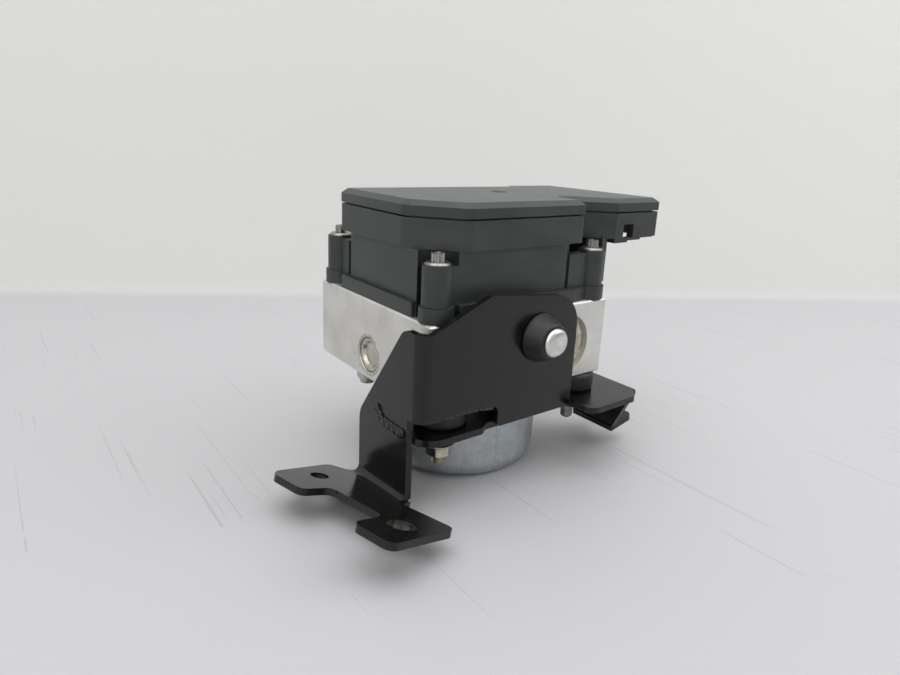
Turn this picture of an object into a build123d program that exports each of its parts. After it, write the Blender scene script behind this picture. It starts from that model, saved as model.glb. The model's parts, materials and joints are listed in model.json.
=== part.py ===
from build123d import *
import math
import os

# Anti-lock brake module: pump motor below, machined valve block, electronic unit on top,
# hung in a stamped bracket and cradle by two rubber isolators and a front grommet.
# Millimetres. Origin on the motor axis at the can's end face, +Z up towards the electronic
# unit, +X towards its connector, -Y towards the bracket's front plate.

# ---------------------------------------------------------------- driving dimensions
# Clearances
RUNNING = 0.05            # radial clearance of a sliding or turning fit
LOOSE = 0.3               # gap between pieces that must not touch
MOULD_GAP = 0.1           # gap between moulded pieces that plug together
CUT = 1.0                 # how far a cutting shape runs past the face it opens

# Coil springs
SPRING_RUNS = 14          # straight runs in one turn
SPRING_FACES = 8          # faces round the wire

# Valve block
BLOCK_WIDTH = 105.0       # along X
BLOCK_DEPTH = 95.0        # along Y
BLOCK_HEIGHT = 37.5
BLOCK_CHAMFER = 0.8
BLOCK_SIDE = BLOCK_WIDTH / 2
BLOCK_FRONT = -BLOCK_DEPTH / 2
BLOCK_BACK = BLOCK_DEPTH / 2

# Pump motor
MOTOR_RADIUS = 40.0
MOTOR_HEIGHT = 45.5       # can end face to block underside
CAN_WALL = 2.0
CAN_CORNER = 8.0
FLANGE_THICKNESS = 3.0
FLANGE_RADIUS = MOTOR_RADIUS + 1.5
MOTOR_SCREW_RADIUS = 2.0
MOTOR_SCREW_DEPTH = 7.0
MOTOR_SCREW_HEAD_RADIUS = 3.8
MOTOR_SCREW_HEAD_HEIGHT = 2.8
MOTOR_SCREW_CIRCLE = (MOTOR_RADIUS + BLOCK_SIDE) / 2 + 1.75
MOTOR_SCREW_ANGLE = 167.5
MOTOR_SCREW_EDGE = 1.0
MOTOR_SCREW_SOCKET_RADIUS = 1.7
MOTOR_SCREW_SOCKET_DEPTH = 1.6
MOTOR_EAR_RADIUS = 5.0
MOTOR_FLANGE_BORE = 7.0
MAGNET_THICKNESS = 5.5
MAGNET_HEIGHT = 27.0
MAGNET_SPAN = 136.0       # degrees
AIR_GAP = 0.8
CORE_HEIGHT = 17.0
SLOT_COUNT = 10
SLOT_WIDTH = 6.0
SLOT_DEPTH = 14.0
END_TURN_HEIGHT = 4.0
WINDING_INSET = 1.5       # winding heads inside the core's outer face
WINDING_ROOT = 1.0        # winding heads outside the slot bottoms
SHAFT_RADIUS = 4.0
SHAFT_STUB = 1.5          # shaft beyond the eccentric
BUSH_RADIUS = 7.0
BUSH_HEIGHT = 5.0
BUSH_SEAT_WALL = 2.0
BEARING_RADIUS = 13.0
BEARING_HEIGHT = 6.0
BEARING_RACE_WALL = 2.0
BEARING_GROOVE = 0.6
COMMUTATOR_RADIUS = 9.0
COMMUTATOR_HEIGHT = 6.0
COMMUTATOR_SLIT_WIDTH = 0.6
COMMUTATOR_SLIT_DEPTH = 1.5
BRUSH_LENGTH = 12.0
BRUSH_WIDTH = 6.0
BRUSH_HEIGHT = 4.5
BRUSH_GUIDE_WALL = 1.2
BRUSH_GUIDE_GAP = 2.0     # commutator to the guide
BRUSH_PLATE_THICKNESS = 3.0
BRUSH_PLATE_RADIUS = MOTOR_RADIUS - CAN_WALL - 3.0
BRUSH_PLATE_GAP = 1.0     # commutator to the plate
LEAD_Y = 23.0             # motor lead between two valve columns
LEAD_RADIUS = 3.0
LEAD_PIN_RADIUS = 0.6
LEAD_PIN_PITCH = 3.0
MOTOR_SEAL_RADIUS = 36.0
MOTOR_SEAL_SECTION = 1.6

# Pump
CHAMBER_DEPTH = 22.0      # eccentric chamber, as wide as the front bearing
ECCENTRIC_RADIUS = 8.0
ECCENTRIC_THROW = 1.0
PUMP_AXIS_RISE = 11.8     # pump bores above the block's underside
PISTON_RADIUS = 5.0
PISTON_LENGTH = 20.0
PISTON_TIP = 0.8
PUMP_PLUG_RADIUS = 8.5
PUMP_PLUG_LENGTH = 9.0
PUMP_PLUG_DISH = 1.6
PUMP_PLUG_DISH_RADIUS = 6.1
PUMP_PLUG_RECESS = 0.4
PISTON_SPRING_RADIUS = 3.6
PISTON_SPRING_WIRE = 0.5
PISTON_SPRING_TURNS = 6

# Low-pressure accumulators in the front face
ACCUMULATOR_X = 26.2
ACCUMULATOR_RISE = 17.5
ACCUMULATOR_RADIUS = 12.5
ACCUMULATOR_DEPTH = 25.0
ACCUMULATOR_SEAT_RADIUS = 14.7
ACCUMULATOR_SEAT_DEPTH = 3.5
ACCUMULATOR_CAP_THICKNESS = 1.5
ACCUMULATOR_BOSS_RADIUS = 9.1
ACCUMULATOR_BOSS_RISE = 1.05
ACCUMULATOR_BOSS_EDGE = 0.6
ACCUMULATOR_PISTON_LENGTH = 8.0
ACCUMULATOR_CUP_DEPTH = 2.0
ACCUMULATOR_CUP_GAP = 1.0
ACCUMULATOR_SPRING_RADIUS = 8.0
ACCUMULATOR_SPRING_WIRE = 0.8
ACCUMULATOR_SPRING_TURNS = 3.5

# Solenoid valves, two rows of four
VALVE_PITCH = 19.0
VALVE_CENTRE_X = -8.85    # middle of the electronic unit's lower body
VALVE_ROW_Y = 14.0
VALVE_COLUMNS = 4
VALVE_BORE_RADIUS = 6.4
VALVE_BORE_DEPTH = 13.0
VALVE_FLANGE_HEIGHT = 1.5
VALVE_DOME_RADIUS = 5.0
VALVE_DOME_WALL = 0.9
VALVE_DOME_CORNER = 1.5
VALVE_DOME_HEIGHT = 17.0  # above the block's top
INLET_PASSAGE_RADIUS = 1.2
OUTLET_PASSAGE_RADIUS = 1.8
ARMATURE_LENGTH = 11.0
ARMATURE_STROKE = 0.3
COIL_RADIUS = 9.2
COIL_HEIGHT = 15.0
COIL_PIN_RADIUS = 0.5
COIL_PIN_OFFSET = 7.3

# Hydraulic ports in the back face
PORT_RISE = 25.5
PORT_RADIUS = 4.5
PORT_DEPTH = 14.0         # outer outlets
INNER_PORT_DEPTH = 12.5   # inner outlets
PORT_PITCH = 14.5
PORT_SEAT_RADIUS = 6.2
PORT_SEAT_DEPTH = 1.0
INLET_RADIUS = 5.5
INLET_DEPTH = 15.0
INLET_SEAT_RADIUS = 7.6

# Electronic unit
LID_LEFT = -51.7
LID_RIGHT = 34.5
LID_FRONT = BLOCK_FRONT + 2.1
LID_BACK = 31.6
LID_CORNER_X = 18.0       # chamfered corner beside the near left post
LID_CORNER_Y = 20.0
SOCKET_LEFT = 59.0        # connector arm of the unit
SOCKET_RIGHT = 92.5
SOCKET_FRONT = BLOCK_FRONT + 4.0
SOCKET_BACK = 36.5
NECK_FRONT = BLOCK_FRONT + 19.0        # where the arm leaves the main body
NECK_LEFT = 41.0
NECK_BACK_LEFT = 51.5
NECK_BACK_RIGHT = 56.5
UNIT_CORNER = 4.0
UNIT_SMALL_CORNER = 2.0
UNIT_LARGE_CORNER = 8.0
UNIT_WALL = 2.2
LOWER_LEFT = -49.6
LOWER_RIGHT = 31.9
LOWER_FRONT = BLOCK_FRONT + 4.1
LOWER_BACK = 28.9
LOWER_CORNER = 8.0
LOWER_HEIGHT = 27.8       # block top to the upper body
UPPER_HEIGHT = 12.4
UPPER_INSET = 0.25
GROOVE = 0.8              # between housing and lid
LID_RIM_HEIGHT = 4.1
LID_SLOPE_HEIGHT = 2.1
LID_SLOPE_WIDTH = 3.0
LID_WALL = 1.8
LID_LIP_WALL = 1.4
LID_LIP_ROOT = 0.5        # lip runs up into the lid
SKIRT_LEFT = -51.5
SKIRT_FRONT = BLOCK_FRONT + 1.0
SKIRT_RIGHT = 31.5
SKIRT_BACK = 29.9
SKIRT_NOTCH_X = -37.0     # skirt stops short of the near left post
SKIRT_NOTCH_Y = BLOCK_FRONT + 15.4
SKIRT_HEIGHT = 6.4
SKIRT_CORNER = 2.0
SKIRT_NOTCH_CORNER = 3.0
POST_X = BLOCK_SIDE - 7.0
POST_Y = BLOCK_BACK - 6.5
POST_RADIUS = 6.2
POST_HEIGHT = 23.2
POST_FOOT_RADIUS = 7.2
POST_NICHE_RADIUS = 9.0
SLEEVE_RADIUS = 4.2
SLEEVE_BORE = 2.8
BOLT_RADIUS = 2.5
BOLT_DEPTH = 13.0
BOLT_FLANGE_RADIUS = 5.5
BOLT_FLANGE_HEIGHT = 1.3
BOLT_FLANGE_CHAMFER = 0.8
BOLT_HEAD_RADIUS = 2.9
BOLT_HEAD_ROOT = 2.44     # radius between the lobes
BOLT_HEAD_HEIGHT = 3.5
BOLT_HEAD_LOBES = 6
BOLT_RECESS_RADIUS = 1.46
BOLT_RECESS_DEPTH = 0.9
WEB_THICKNESS = 5.0
WEB_DROP = 0.8            # post top to web top
WEB_ROOT = 2.0            # web runs into the lower body
SEAL_WIDTH = 1.6
SEAL_HEIGHT = 1.4
SEAL_SHIFT = 0.2          # seal nearer the coil room than the wall's middle
BOARD_THICKNESS = 1.6
BOARD_DROP = 1.4          # board top below the housing's top edge
BOARD_LEDGE = 1.2
SOCKET_WALL = 2.5
SOCKET_ROOF_DROP = 5.7    # socket roof below the housing's top edge
SOCKET_SHROUD = 2.4       # shroud below the upper body, beside the guard
SOCKET_SHROUD_STEP = 0.9
SHROUD_INSET_NEAR = 1.5
SHROUD_INSET_FAR = 2.0
SHROUD_CORNER = 2.0
WINDOW_X = 64.9
WINDOW_WIDTH = 7.7
WINDOW_HEIGHT = 6.8
GUARD_X = 54.0
GUARD_THICKNESS = 3.5
GUARD_FRONT = BLOCK_FRONT + 7.5
GUARD_BACK = 32.5
GUARD_HEIGHT = 21.5
PIN_PITCH = 2.6
PIN_COUNT = 20
PIN_SIZE = 0.7
PIN_ROWS_X = (70.0, 75.0, 80.0)
BLADE_WIDTH = 5.0
BLADE_THICKNESS = 1.0
PIN_REACH = 6.5           # below the socket roof

# Bracket sheet
SHEET = 3.0
BEND_INNER = 2.5
PLATE_GAP = 3.0           # block front face to the plate's inner face
PLATE_RIGHT = 25.6
PLATE_BOTTOM = 35.3
PLATE_TOP_RIGHT = 88.8
PLATE_TOP_LEFT = 94.0
PLATE_TOP_X = -26.3
PLATE_SHOULDER = 81.7     # height where the plate meets the bend
PLATE_CORNER = 15.5
PLATE_SHOULDER_CORNER = 4.0
PLATE_LOW_RIGHT_CORNER = 1.0
PLATE_LOW_LEFT_CORNER = 2.0
NOTCH_TOP = 45.2
NOTCH_RIGHT = -19.5
NOTCH_CORNER = 3.5
WING_GAP = 5.0            # block side to the wing's inner face
WING_BACK = BLOCK_FRONT + 41.0
WING_TOP_Y = BLOCK_FRONT + 6.5
WING_KNEE = 34.6          # height where the slope meets the back edge
WING_FRONT = BLOCK_FRONT + 2.3
WING_KNEE_CORNER = 12.0
WING_TOP_CORNER = 6.0
WING_ROOT = 1.8           # wing runs into the foot
FOOT_TOP = 8.3            # foot's top plane at its datum on the wing's outer face
FOOT_DATUM_Y = BLOCK_FRONT + 4.0
FOOT_TILT_X = 0.30        # rise per mm outward (-X)
FOOT_TILT_Y = 0.11        # rise per mm towards -Y
FOOT_TURN = 12.0          # degrees in plan
FOOT_BEND = 3.0
FOOT_BEND_OUTER = 5.4
EAR_CORNER = 4.0
EAR_LEFT = -34.8
EAR_NEAR = 23.0
EAR_SLOPE = 2.0           # ear's near edge falls towards the strip
EAR_FAR = 44.4
EAR_FAR_RIGHT = 47.6
HEEL_U = 3.3              # corner of the foot below the wing's back edge
HEEL_V = 39.0
INNER_NEAR = (4.0, -2.2)  # straight edge under the wing
INNER_FAR = (13.0, 35.3)
STRIP_LEFT = -21.0
FRONT_EAR_LEFT = -37.6
FRONT_EAR_NEAR = -30.7
FRONT_EAR_FAR = -10.2
FRONT_EAR_RIGHT = -1.7
TOE_U = -3.4              # corner of the foot below the wing's front edge
TOE_V = -3.4
FOOT_HOLE_U = -16.0
FOOT_HOLE_V = 34.8
FOOT_HOLE_RADIUS = 4.0
NUT_U = -20.2
NUT_V = -18.8
NUT_THREAD_RADIUS = 4.0
NUT_COLLAR_RADIUS = 6.2
NUT_BODY_RADIUS = 7.0
NUT_HEIGHT = 0.8          # flange below the sheet
NUT_CLEARANCE = 0.1
NUT_COLLAR_DROP = 0.6     # collar below the foot's top face

# Cradle sheet
CRADLE_TOP = 36.5
TAB_FRONT = BLOCK_FRONT - 5.5
TAB_RIGHT = -27.0
TAB_CORNER = 10.0
TAB_STEP = 4.0
TAB_STEP_CORNER = 2.0
CRADLE_BACK = BLOCK_FRONT + 25.5
CRADLE_ARC = MOTOR_RADIUS + 2.5
SHELF_LEFT = 27.9
SHELF_FRONT = BLOCK_FRONT - 17.6
SHELF_CHAMFER_X = 60.0
SHELF_CHAMFER_Y = BLOCK_FRONT - 11.1
SHELF_ROOT_CORNER = 3.0
SHELF_FRONT_CORNER = 6.0
SHELF_CHAMFER_CORNER = 4.0
RIGHT_WING_X = 66.5       # inner face
RIGHT_WING_BOTTOM = 12.0
RIGHT_WING_LOW_Y = BLOCK_FRONT - 1.3
RIGHT_WING_BEND = 2.85
RIGHT_FOOT_OUT = 83.6
RIGHT_FOOT_TILT = 11.5    # degrees
RIGHT_FOOT_CORNER = 3.0
RIGHT_FOOT_HOLE_X = 76.5
RIGHT_FOOT_HOLE_Y = BLOCK_FRONT + 12.0
RIGHT_FOOT_HOLE_RADIUS = 3.5

# Isolators
ISOLATOR_LEFT_STANDOFF = 13.745    # isolator axis beyond the motor can
ISOLATOR_RIGHT_STANDOFF = 16.679
ISOLATOR_Y = BLOCK_FRONT + 10.0
ISOLATOR_RADIUS = 11.5
ISOLATOR_NECK_RADIUS = 6.0
ISOLATOR_LOWER_RADIUS = 7.5
ISOLATOR_LOWER_HEIGHT = 6.5
ISOLATOR_EDGE = 1.2
ISOLATOR_LOWER_EDGE = 1.0
STUD_RADIUS = 3.0
STUD_DEPTH = 7.0
STUD_END = 16.7
PIN_END = 19.5
PIN_TIP = 0.8
NUT_FLANGE_RADIUS = 7.1
NUT_FLANGE_HEIGHT = 1.4
NUT_FLANGE_CHAMFER = 0.9
NUT_FLATS = 10.0
NUT_TOTAL_HEIGHT = 5.8

# Front grommet
GROMMET_X = 2.2
GROMMET_Z = 72.4
GROMMET_BASE_RADIUS = 11.2
GROMMET_FRONT_RADIUS = 7.6
GROMMET_LENGTH = 9.2
GROMMET_NECK_RADIUS = 8.0
GROMMET_BACK_RADIUS = 11.0
GROMMET_PIN_RADIUS = 3.5
GROMMET_PIN_DEPTH = 12.0
GROMMET_HEAD_RADIUS = 6.4
GROMMET_HEAD_HEIGHT = 2.3
GROMMET_HEAD_EDGE = 1.84

# Weld
BEAD_RADIUS = 2.2
BEAD_FRONT_Y = BLOCK_FRONT + 5.3
BEAD_TURN_Y = BLOCK_FRONT + 21.3
BEAD_END_Y = BLOCK_FRONT + 25.1
BEAD_Z = 37.7
BEAD_END_RISE = 3.9
FILLET_WELD = 3.0

# ---------------------------------------------------------------- derived places
BLOCK_BOTTOM = MOTOR_HEIGHT
BLOCK_TOP = BLOCK_BOTTOM + BLOCK_HEIGHT
CAN_TOP = MOTOR_HEIGHT - FLANGE_THICKNESS
CAN_BORE = MOTOR_RADIUS - CAN_WALL
PUMP_Z = BLOCK_BOTTOM + PUMP_AXIS_RISE
PLUG_SEAT_X = BLOCK_SIDE - PUMP_PLUG_RECESS - PUMP_PLUG_LENGTH
PISTON_START_X = ECCENTRIC_RADIUS + ECCENTRIC_THROW + LOOSE
ACCUMULATOR_Z = BLOCK_BOTTOM + ACCUMULATOR_RISE
PORT_Z = BLOCK_BOTTOM + PORT_RISE
VALVE_FLOOR = BLOCK_TOP - VALVE_BORE_DEPTH
UPPER_BOTTOM = BLOCK_TOP + LOWER_HEIGHT
UPPER_TOP = UPPER_BOTTOM + UPPER_HEIGHT
LID_BOTTOM = UPPER_TOP + GROOVE
LID_RIM_TOP = LID_BOTTOM + LID_RIM_HEIGHT
LID_TOP = LID_RIM_TOP + LID_SLOPE_HEIGHT
BOARD_TOP = UPPER_TOP - BOARD_DROP
BOARD_BOTTOM = BOARD_TOP - BOARD_THICKNESS
SOCKET_ROOF = UPPER_TOP - SOCKET_ROOF_DROP
POST_TOP = BLOCK_TOP + POST_HEIGHT
PLATE_INNER = BLOCK_FRONT - PLATE_GAP
PLATE_OUTER = PLATE_INNER - SHEET
WING_INNER = -BLOCK_SIDE - WING_GAP
WING_OUTER = WING_INNER - SHEET
BEND_X = WING_INNER + BEND_INNER
BEND_Y = PLATE_INNER + BEND_INNER
CRADLE_BOTTOM = CRADLE_TOP - SHEET
MAGNET_BOTTOM = CAN_CORNER
CORE_RADIUS = CAN_BORE - MAGNET_THICKNESS - AIR_GAP
CORE_BOTTOM = MAGNET_BOTTOM + (MAGNET_HEIGHT - CORE_HEIGHT) / 2
CORE_TOP = CORE_BOTTOM + CORE_HEIGHT
BRUSH_PLATE_BOTTOM = CAN_TOP - BRUSH_PLATE_THICKNESS
BRUSH_BOTTOM = BRUSH_PLATE_BOTTOM - BRUSH_HEIGHT
VALVE_COLUMN_X = [
    VALVE_CENTRE_X + VALVE_PITCH * (i - (VALVE_COLUMNS - 1) / 2) for i in range(VALVE_COLUMNS)
]
POST_PLACES = [(-POST_X, -POST_Y), (POST_X, -POST_Y), (-POST_X, POST_Y), (POST_X, POST_Y)]
ISOLATOR_LEFT_X = -math.sqrt((MOTOR_RADIUS + ISOLATOR_LEFT_STANDOFF) ** 2 - ISOLATOR_Y**2)
ISOLATOR_RIGHT_X = math.sqrt((MOTOR_RADIUS + ISOLATOR_RIGHT_STANDOFF) ** 2 - ISOLATOR_Y**2)
ISOLATOR_PLACES = [ISOLATOR_LEFT_X, ISOLATOR_RIGHT_X]


# ---------------------------------------------------------------- shared shapes
def block_between(x0, x1, y0, y1, z0, z1):
    """Rectangular block between two corners."""
    middle = Pos((x0 + x1) / 2, (y0 + y1) / 2, (z0 + z1) / 2)
    return middle * Box(x1 - x0, y1 - y0, z1 - z0)


def rod_z(x, y, z0, z1, radius):
    """Cylinder standing along Z."""
    return Pos(x, y, (z0 + z1) / 2) * Cylinder(radius, z1 - z0)


def rod_x(x0, x1, y, z, radius):
    """Cylinder lying along X."""
    return Pos((x0 + x1) / 2, y, z) * Rot(0, 90, 0) * Cylinder(radius, abs(x1 - x0))


def rod_y(x, y0, y1, z, radius):
    """Cylinder lying along Y."""
    return Pos(x, (y0 + y1) / 2, z) * Rot(90, 0, 0) * Cylinder(radius, abs(y1 - y0))


def rounded_face(corners):
    """Face of a closed outline of (a, b, radius) corners; radius 0 keeps a corner sharp."""
    count = len(corners)
    edges = []
    joins = []
    for i, (a, b, radius) in enumerate(corners):
        here = Vector(a, b)
        back = (Vector(*corners[i - 1][:2]) - here).normalized()
        ahead = (Vector(*corners[(i + 1) % count][:2]) - here).normalized()
        if radius == 0:
            joins.append((here, None, here))
            continue
        half = math.radians(back.get_angle(ahead)) / 2
        cut = radius / math.tan(half)
        bisector = (back + ahead).normalized()
        crown = here + bisector * (radius / math.sin(half) - radius)
        joins.append((here + back * cut, crown, here + ahead * cut))
    for i, (entry, crown, leave) in enumerate(joins):
        if crown is not None:
            edges.append(ThreePointArc(entry, crown, leave))
        edges.append(Line(leave, joins[(i + 1) % count][0]))
    return Face(Wire(edges))


def inset(corners, gap):
    """The same counter-clockwise outline moved inward by gap, or outward if gap is negative."""
    count = len(corners)
    moved = []
    for i, (a, b, radius) in enumerate(corners):
        before = (Vector(a, b) - Vector(*corners[i - 1][:2])).normalized()
        after = (Vector(*corners[(i + 1) % count][:2]) - Vector(a, b)).normalized()
        share = gap / (1 + before.dot(after))
        outward_corner = before.X * after.Y - before.Y * after.X > 0
        new_a = a - share * (before.Y + after.Y)
        new_b = b + share * (before.X + after.X)
        new_radius = max(radius - gap, 0.4) if outward_corner else radius + gap
        moved.append((new_a, new_b, new_radius))
    return moved


def rectangle(x0, x1, y0, y1, radius):
    """Counter-clockwise corners of a rectangle."""
    return [(x0, y0, radius), (x1, y0, radius), (x1, y1, radius), (x0, y1, radius)]


def prism_z(corners, z0, z1):
    """Outline in X and Y, standing from z0 to z1."""
    return Pos(0, 0, z0) * extrude(rounded_face(corners), amount=z1 - z0, dir=(0, 0, 1))


def prism_y(corners, y0, y1):
    """Outline in X and Z, reaching from y0 to y1."""
    face = Plane.XZ * rounded_face(corners)
    return Pos(0, y0, 0) * extrude(face, amount=y1 - y0, dir=(0, 1, 0))


def prism_x(corners, x0, x1):
    """Outline in Y and Z, reaching from x0 to x1."""
    face = Plane.YZ * rounded_face(corners)
    return Pos(x0, 0, 0) * extrude(face, amount=x1 - x0, dir=(1, 0, 0))


def coil_spring(radius, wire, length, turns):
    """Compression spring along Z from 0 to length, wire included, bent in short straight runs."""
    rise = length - 2 * wire
    steps = round(turns * SPRING_RUNS)
    points = []
    for i in range(steps + 1):
        angle = 2 * math.pi * i / SPRING_RUNS
        points.append((radius * math.cos(angle), radius * math.sin(angle), wire + rise * i / steps))
    path = Polyline(*points)
    start = Plane(origin=path @ 0, z_dir=path % 0)
    section = start * RegularPolygon(wire, SPRING_FACES)
    return sweep(section, path=path, transition=Transition.RIGHT)


def edges_at(shape, axis, value, tolerance=0.01):
    """Edges that lie wholly at one coordinate."""
    return shape.edges().filter_by_position(axis, value - tolerance, value + tolerance)


def group(solids):
    """Several separate solids kept in one node."""
    return Compound(children=[s if isinstance(s, Solid) else s.solid() for s in solids])


# ---------------------------------------------------------------- valve block
def valve_places():
    """Centre of each valve, front row first."""
    return [(x, y) for y in (-VALVE_ROW_Y, VALVE_ROW_Y) for x in VALVE_COLUMN_X]


def motor_screw_places():
    """Centres of the two motor screws."""
    angles = [math.radians(MOTOR_SCREW_ANGLE + turn) for turn in (0, 180)]
    return [(MOTOR_SCREW_CIRCLE * math.cos(a), MOTOR_SCREW_CIRCLE * math.sin(a)) for a in angles]


def port_places():
    """X and depth of the four outlet ports."""
    depths = (PORT_DEPTH, INNER_PORT_DEPTH, INNER_PORT_DEPTH, PORT_DEPTH)
    return [(PORT_PITCH * (i - 1.5), depth) for i, depth in enumerate(depths)]


def inlet_places():
    """X of the two inlet ports, outside the outlets."""
    reach = PORT_PITCH * 1.5 + PORT_PITCH
    return [-reach, reach]


def make_valve_block():
    block = block_between(-BLOCK_SIDE, BLOCK_SIDE, BLOCK_FRONT, BLOCK_BACK, BLOCK_BOTTOM, BLOCK_TOP)
    block = chamfer(block.edges(), BLOCK_CHAMFER)
    block -= rod_z(0, 0, BLOCK_BOTTOM - CUT, BLOCK_BOTTOM + CHAMBER_DEPTH, BEARING_RADIUS)
    seal_cut = rod_z(0, 0, BLOCK_BOTTOM - CUT, BLOCK_BOTTOM + MOTOR_SEAL_SECTION, MOTOR_SEAL_RADIUS)
    seal_cut -= rod_z(0, 0, BLOCK_BOTTOM - CUT, BLOCK_TOP, MOTOR_SEAL_RADIUS - MOTOR_SEAL_SECTION)
    block -= seal_cut
    for side in (-1, 1):
        block -= rod_x(0, side * PLUG_SEAT_X, 0, PUMP_Z, PISTON_RADIUS)
        block -= rod_x(side * PLUG_SEAT_X, side * (BLOCK_SIDE + CUT), 0, PUMP_Z, PUMP_PLUG_RADIUS)
        x = side * ACCUMULATOR_X
        seat_y = BLOCK_FRONT + ACCUMULATOR_SEAT_DEPTH
        bore_y = BLOCK_FRONT + ACCUMULATOR_DEPTH
        block -= rod_y(x, BLOCK_FRONT - CUT, bore_y, ACCUMULATOR_Z, ACCUMULATOR_RADIUS)
        block -= rod_y(x, BLOCK_FRONT - CUT, seat_y, ACCUMULATOR_Z, ACCUMULATOR_SEAT_RADIUS)
    for x, y in valve_places():
        block -= rod_z(x, y, VALVE_FLOOR, BLOCK_TOP + CUT, VALVE_BORE_RADIUS)
    for x, depth in port_places():
        block -= rod_y(x, BLOCK_BACK - depth, BLOCK_BACK + CUT, PORT_Z, PORT_RADIUS)
        block -= rod_y(x, BLOCK_BACK - PORT_SEAT_DEPTH, BLOCK_BACK + CUT, PORT_Z, PORT_SEAT_RADIUS)
    for x in inlet_places():
        block -= rod_y(x, BLOCK_BACK - INLET_DEPTH, BLOCK_BACK + CUT, PORT_Z, INLET_RADIUS)
        block -= rod_y(x, BLOCK_BACK - PORT_SEAT_DEPTH, BLOCK_BACK + CUT, PORT_Z, INLET_SEAT_RADIUS)
    for x, y in POST_PLACES:
        block -= rod_z(x, y, BLOCK_TOP - BOLT_DEPTH, BLOCK_TOP + CUT, BOLT_RADIUS)
    for x, y in motor_screw_places():
        block -= rod_z(x, y, BLOCK_BOTTOM - CUT, BLOCK_BOTTOM + MOTOR_SCREW_DEPTH, MOTOR_SCREW_RADIUS)
    for x in ISOLATOR_PLACES:
        block -= rod_z(x, ISOLATOR_Y, BLOCK_BOTTOM - CUT, BLOCK_BOTTOM + STUD_DEPTH, STUD_RADIUS)
    pin_end = BLOCK_FRONT + GROMMET_PIN_DEPTH
    block -= rod_y(GROMMET_X, BLOCK_FRONT - CUT, pin_end, GROMMET_Z, GROMMET_PIN_RADIUS)
    block -= rod_z(VALVE_CENTRE_X, LEAD_Y, BLOCK_BOTTOM - CUT, BLOCK_TOP + CUT, LEAD_RADIUS + MOULD_GAP)
    return block


# ---------------------------------------------------------------- pump and accumulators
def make_pump_plug(side):
    outer = BLOCK_SIDE - PUMP_PLUG_RECESS
    plug = rod_x(side * PLUG_SEAT_X, side * outer, 0, PUMP_Z, PUMP_PLUG_RADIUS)
    floor = side * (outer - PUMP_PLUG_DISH)
    return plug - rod_x(floor, side * (outer + CUT), 0, PUMP_Z, PUMP_PLUG_DISH_RADIUS)


def make_pump_piston(side):
    end = PISTON_START_X + PISTON_LENGTH
    piston = rod_x(side * PISTON_START_X, side * end, 0, PUMP_Z, PISTON_RADIUS - RUNNING)
    tip = edges_at(piston, Axis.X, side * PISTON_START_X)
    return chamfer(tip, PISTON_TIP)


def make_piston_spring(side):
    start = PISTON_START_X + PISTON_LENGTH
    spring = coil_spring(
        PISTON_SPRING_RADIUS, PISTON_SPRING_WIRE, PLUG_SEAT_X - start, PISTON_SPRING_TURNS
    )
    return Pos(side * start, 0, PUMP_Z) * Rot(0, side * 90, 0) * spring


def accumulator_piston_y():
    """Y of the piston's two faces, front one first."""
    inner = BLOCK_FRONT + ACCUMULATOR_DEPTH - LOOSE
    return inner - ACCUMULATOR_PISTON_LENGTH, inner


def accumulator_cap_y():
    """Y of the cap's two faces, front one first."""
    inner = BLOCK_FRONT + ACCUMULATOR_SEAT_DEPTH
    return inner - ACCUMULATOR_CAP_THICKNESS, inner


def make_accumulator_cap(side):
    front, inner = accumulator_cap_y()
    x = side * ACCUMULATOR_X
    cap = rod_y(x, front, inner, ACCUMULATOR_Z, ACCUMULATOR_SEAT_RADIUS)
    boss_y = front - ACCUMULATOR_BOSS_RISE
    cap += rod_y(x, boss_y, front, ACCUMULATOR_Z, ACCUMULATOR_BOSS_RADIUS)
    return fillet(edges_at(cap, Axis.Y, boss_y), ACCUMULATOR_BOSS_EDGE)


def make_accumulator_piston(side):
    front, inner = accumulator_piston_y()
    x = side * ACCUMULATOR_X
    piston = rod_y(x, front, inner, ACCUMULATOR_Z, ACCUMULATOR_RADIUS - RUNNING)
    cup = ACCUMULATOR_SPRING_RADIUS + ACCUMULATOR_SPRING_WIRE + ACCUMULATOR_CUP_GAP
    return piston - rod_y(x, front - CUT, front + ACCUMULATOR_CUP_DEPTH, ACCUMULATOR_Z, cup)


def make_accumulator_spring(side):
    piston_front = accumulator_piston_y()[0] + ACCUMULATOR_CUP_DEPTH
    cap_inner = accumulator_cap_y()[1]
    spring = coil_spring(
        ACCUMULATOR_SPRING_RADIUS,
        ACCUMULATOR_SPRING_WIRE,
        piston_front - cap_inner,
        ACCUMULATOR_SPRING_TURNS,
    )
    return Pos(side * ACCUMULATOR_X, piston_front, ACCUMULATOR_Z) * Rot(90, 0, 0) * spring


# ---------------------------------------------------------------- solenoid valves
def valve_cavity_radius():
    """Radius of the hollow that the armature slides in."""
    return VALVE_DOME_RADIUS - VALVE_DOME_WALL


def armature_top():
    """Height of a resting armature's top face."""
    return BLOCK_TOP + VALVE_DOME_HEIGHT - VALVE_DOME_WALL - ARMATURE_STROKE - LOOSE


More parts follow.
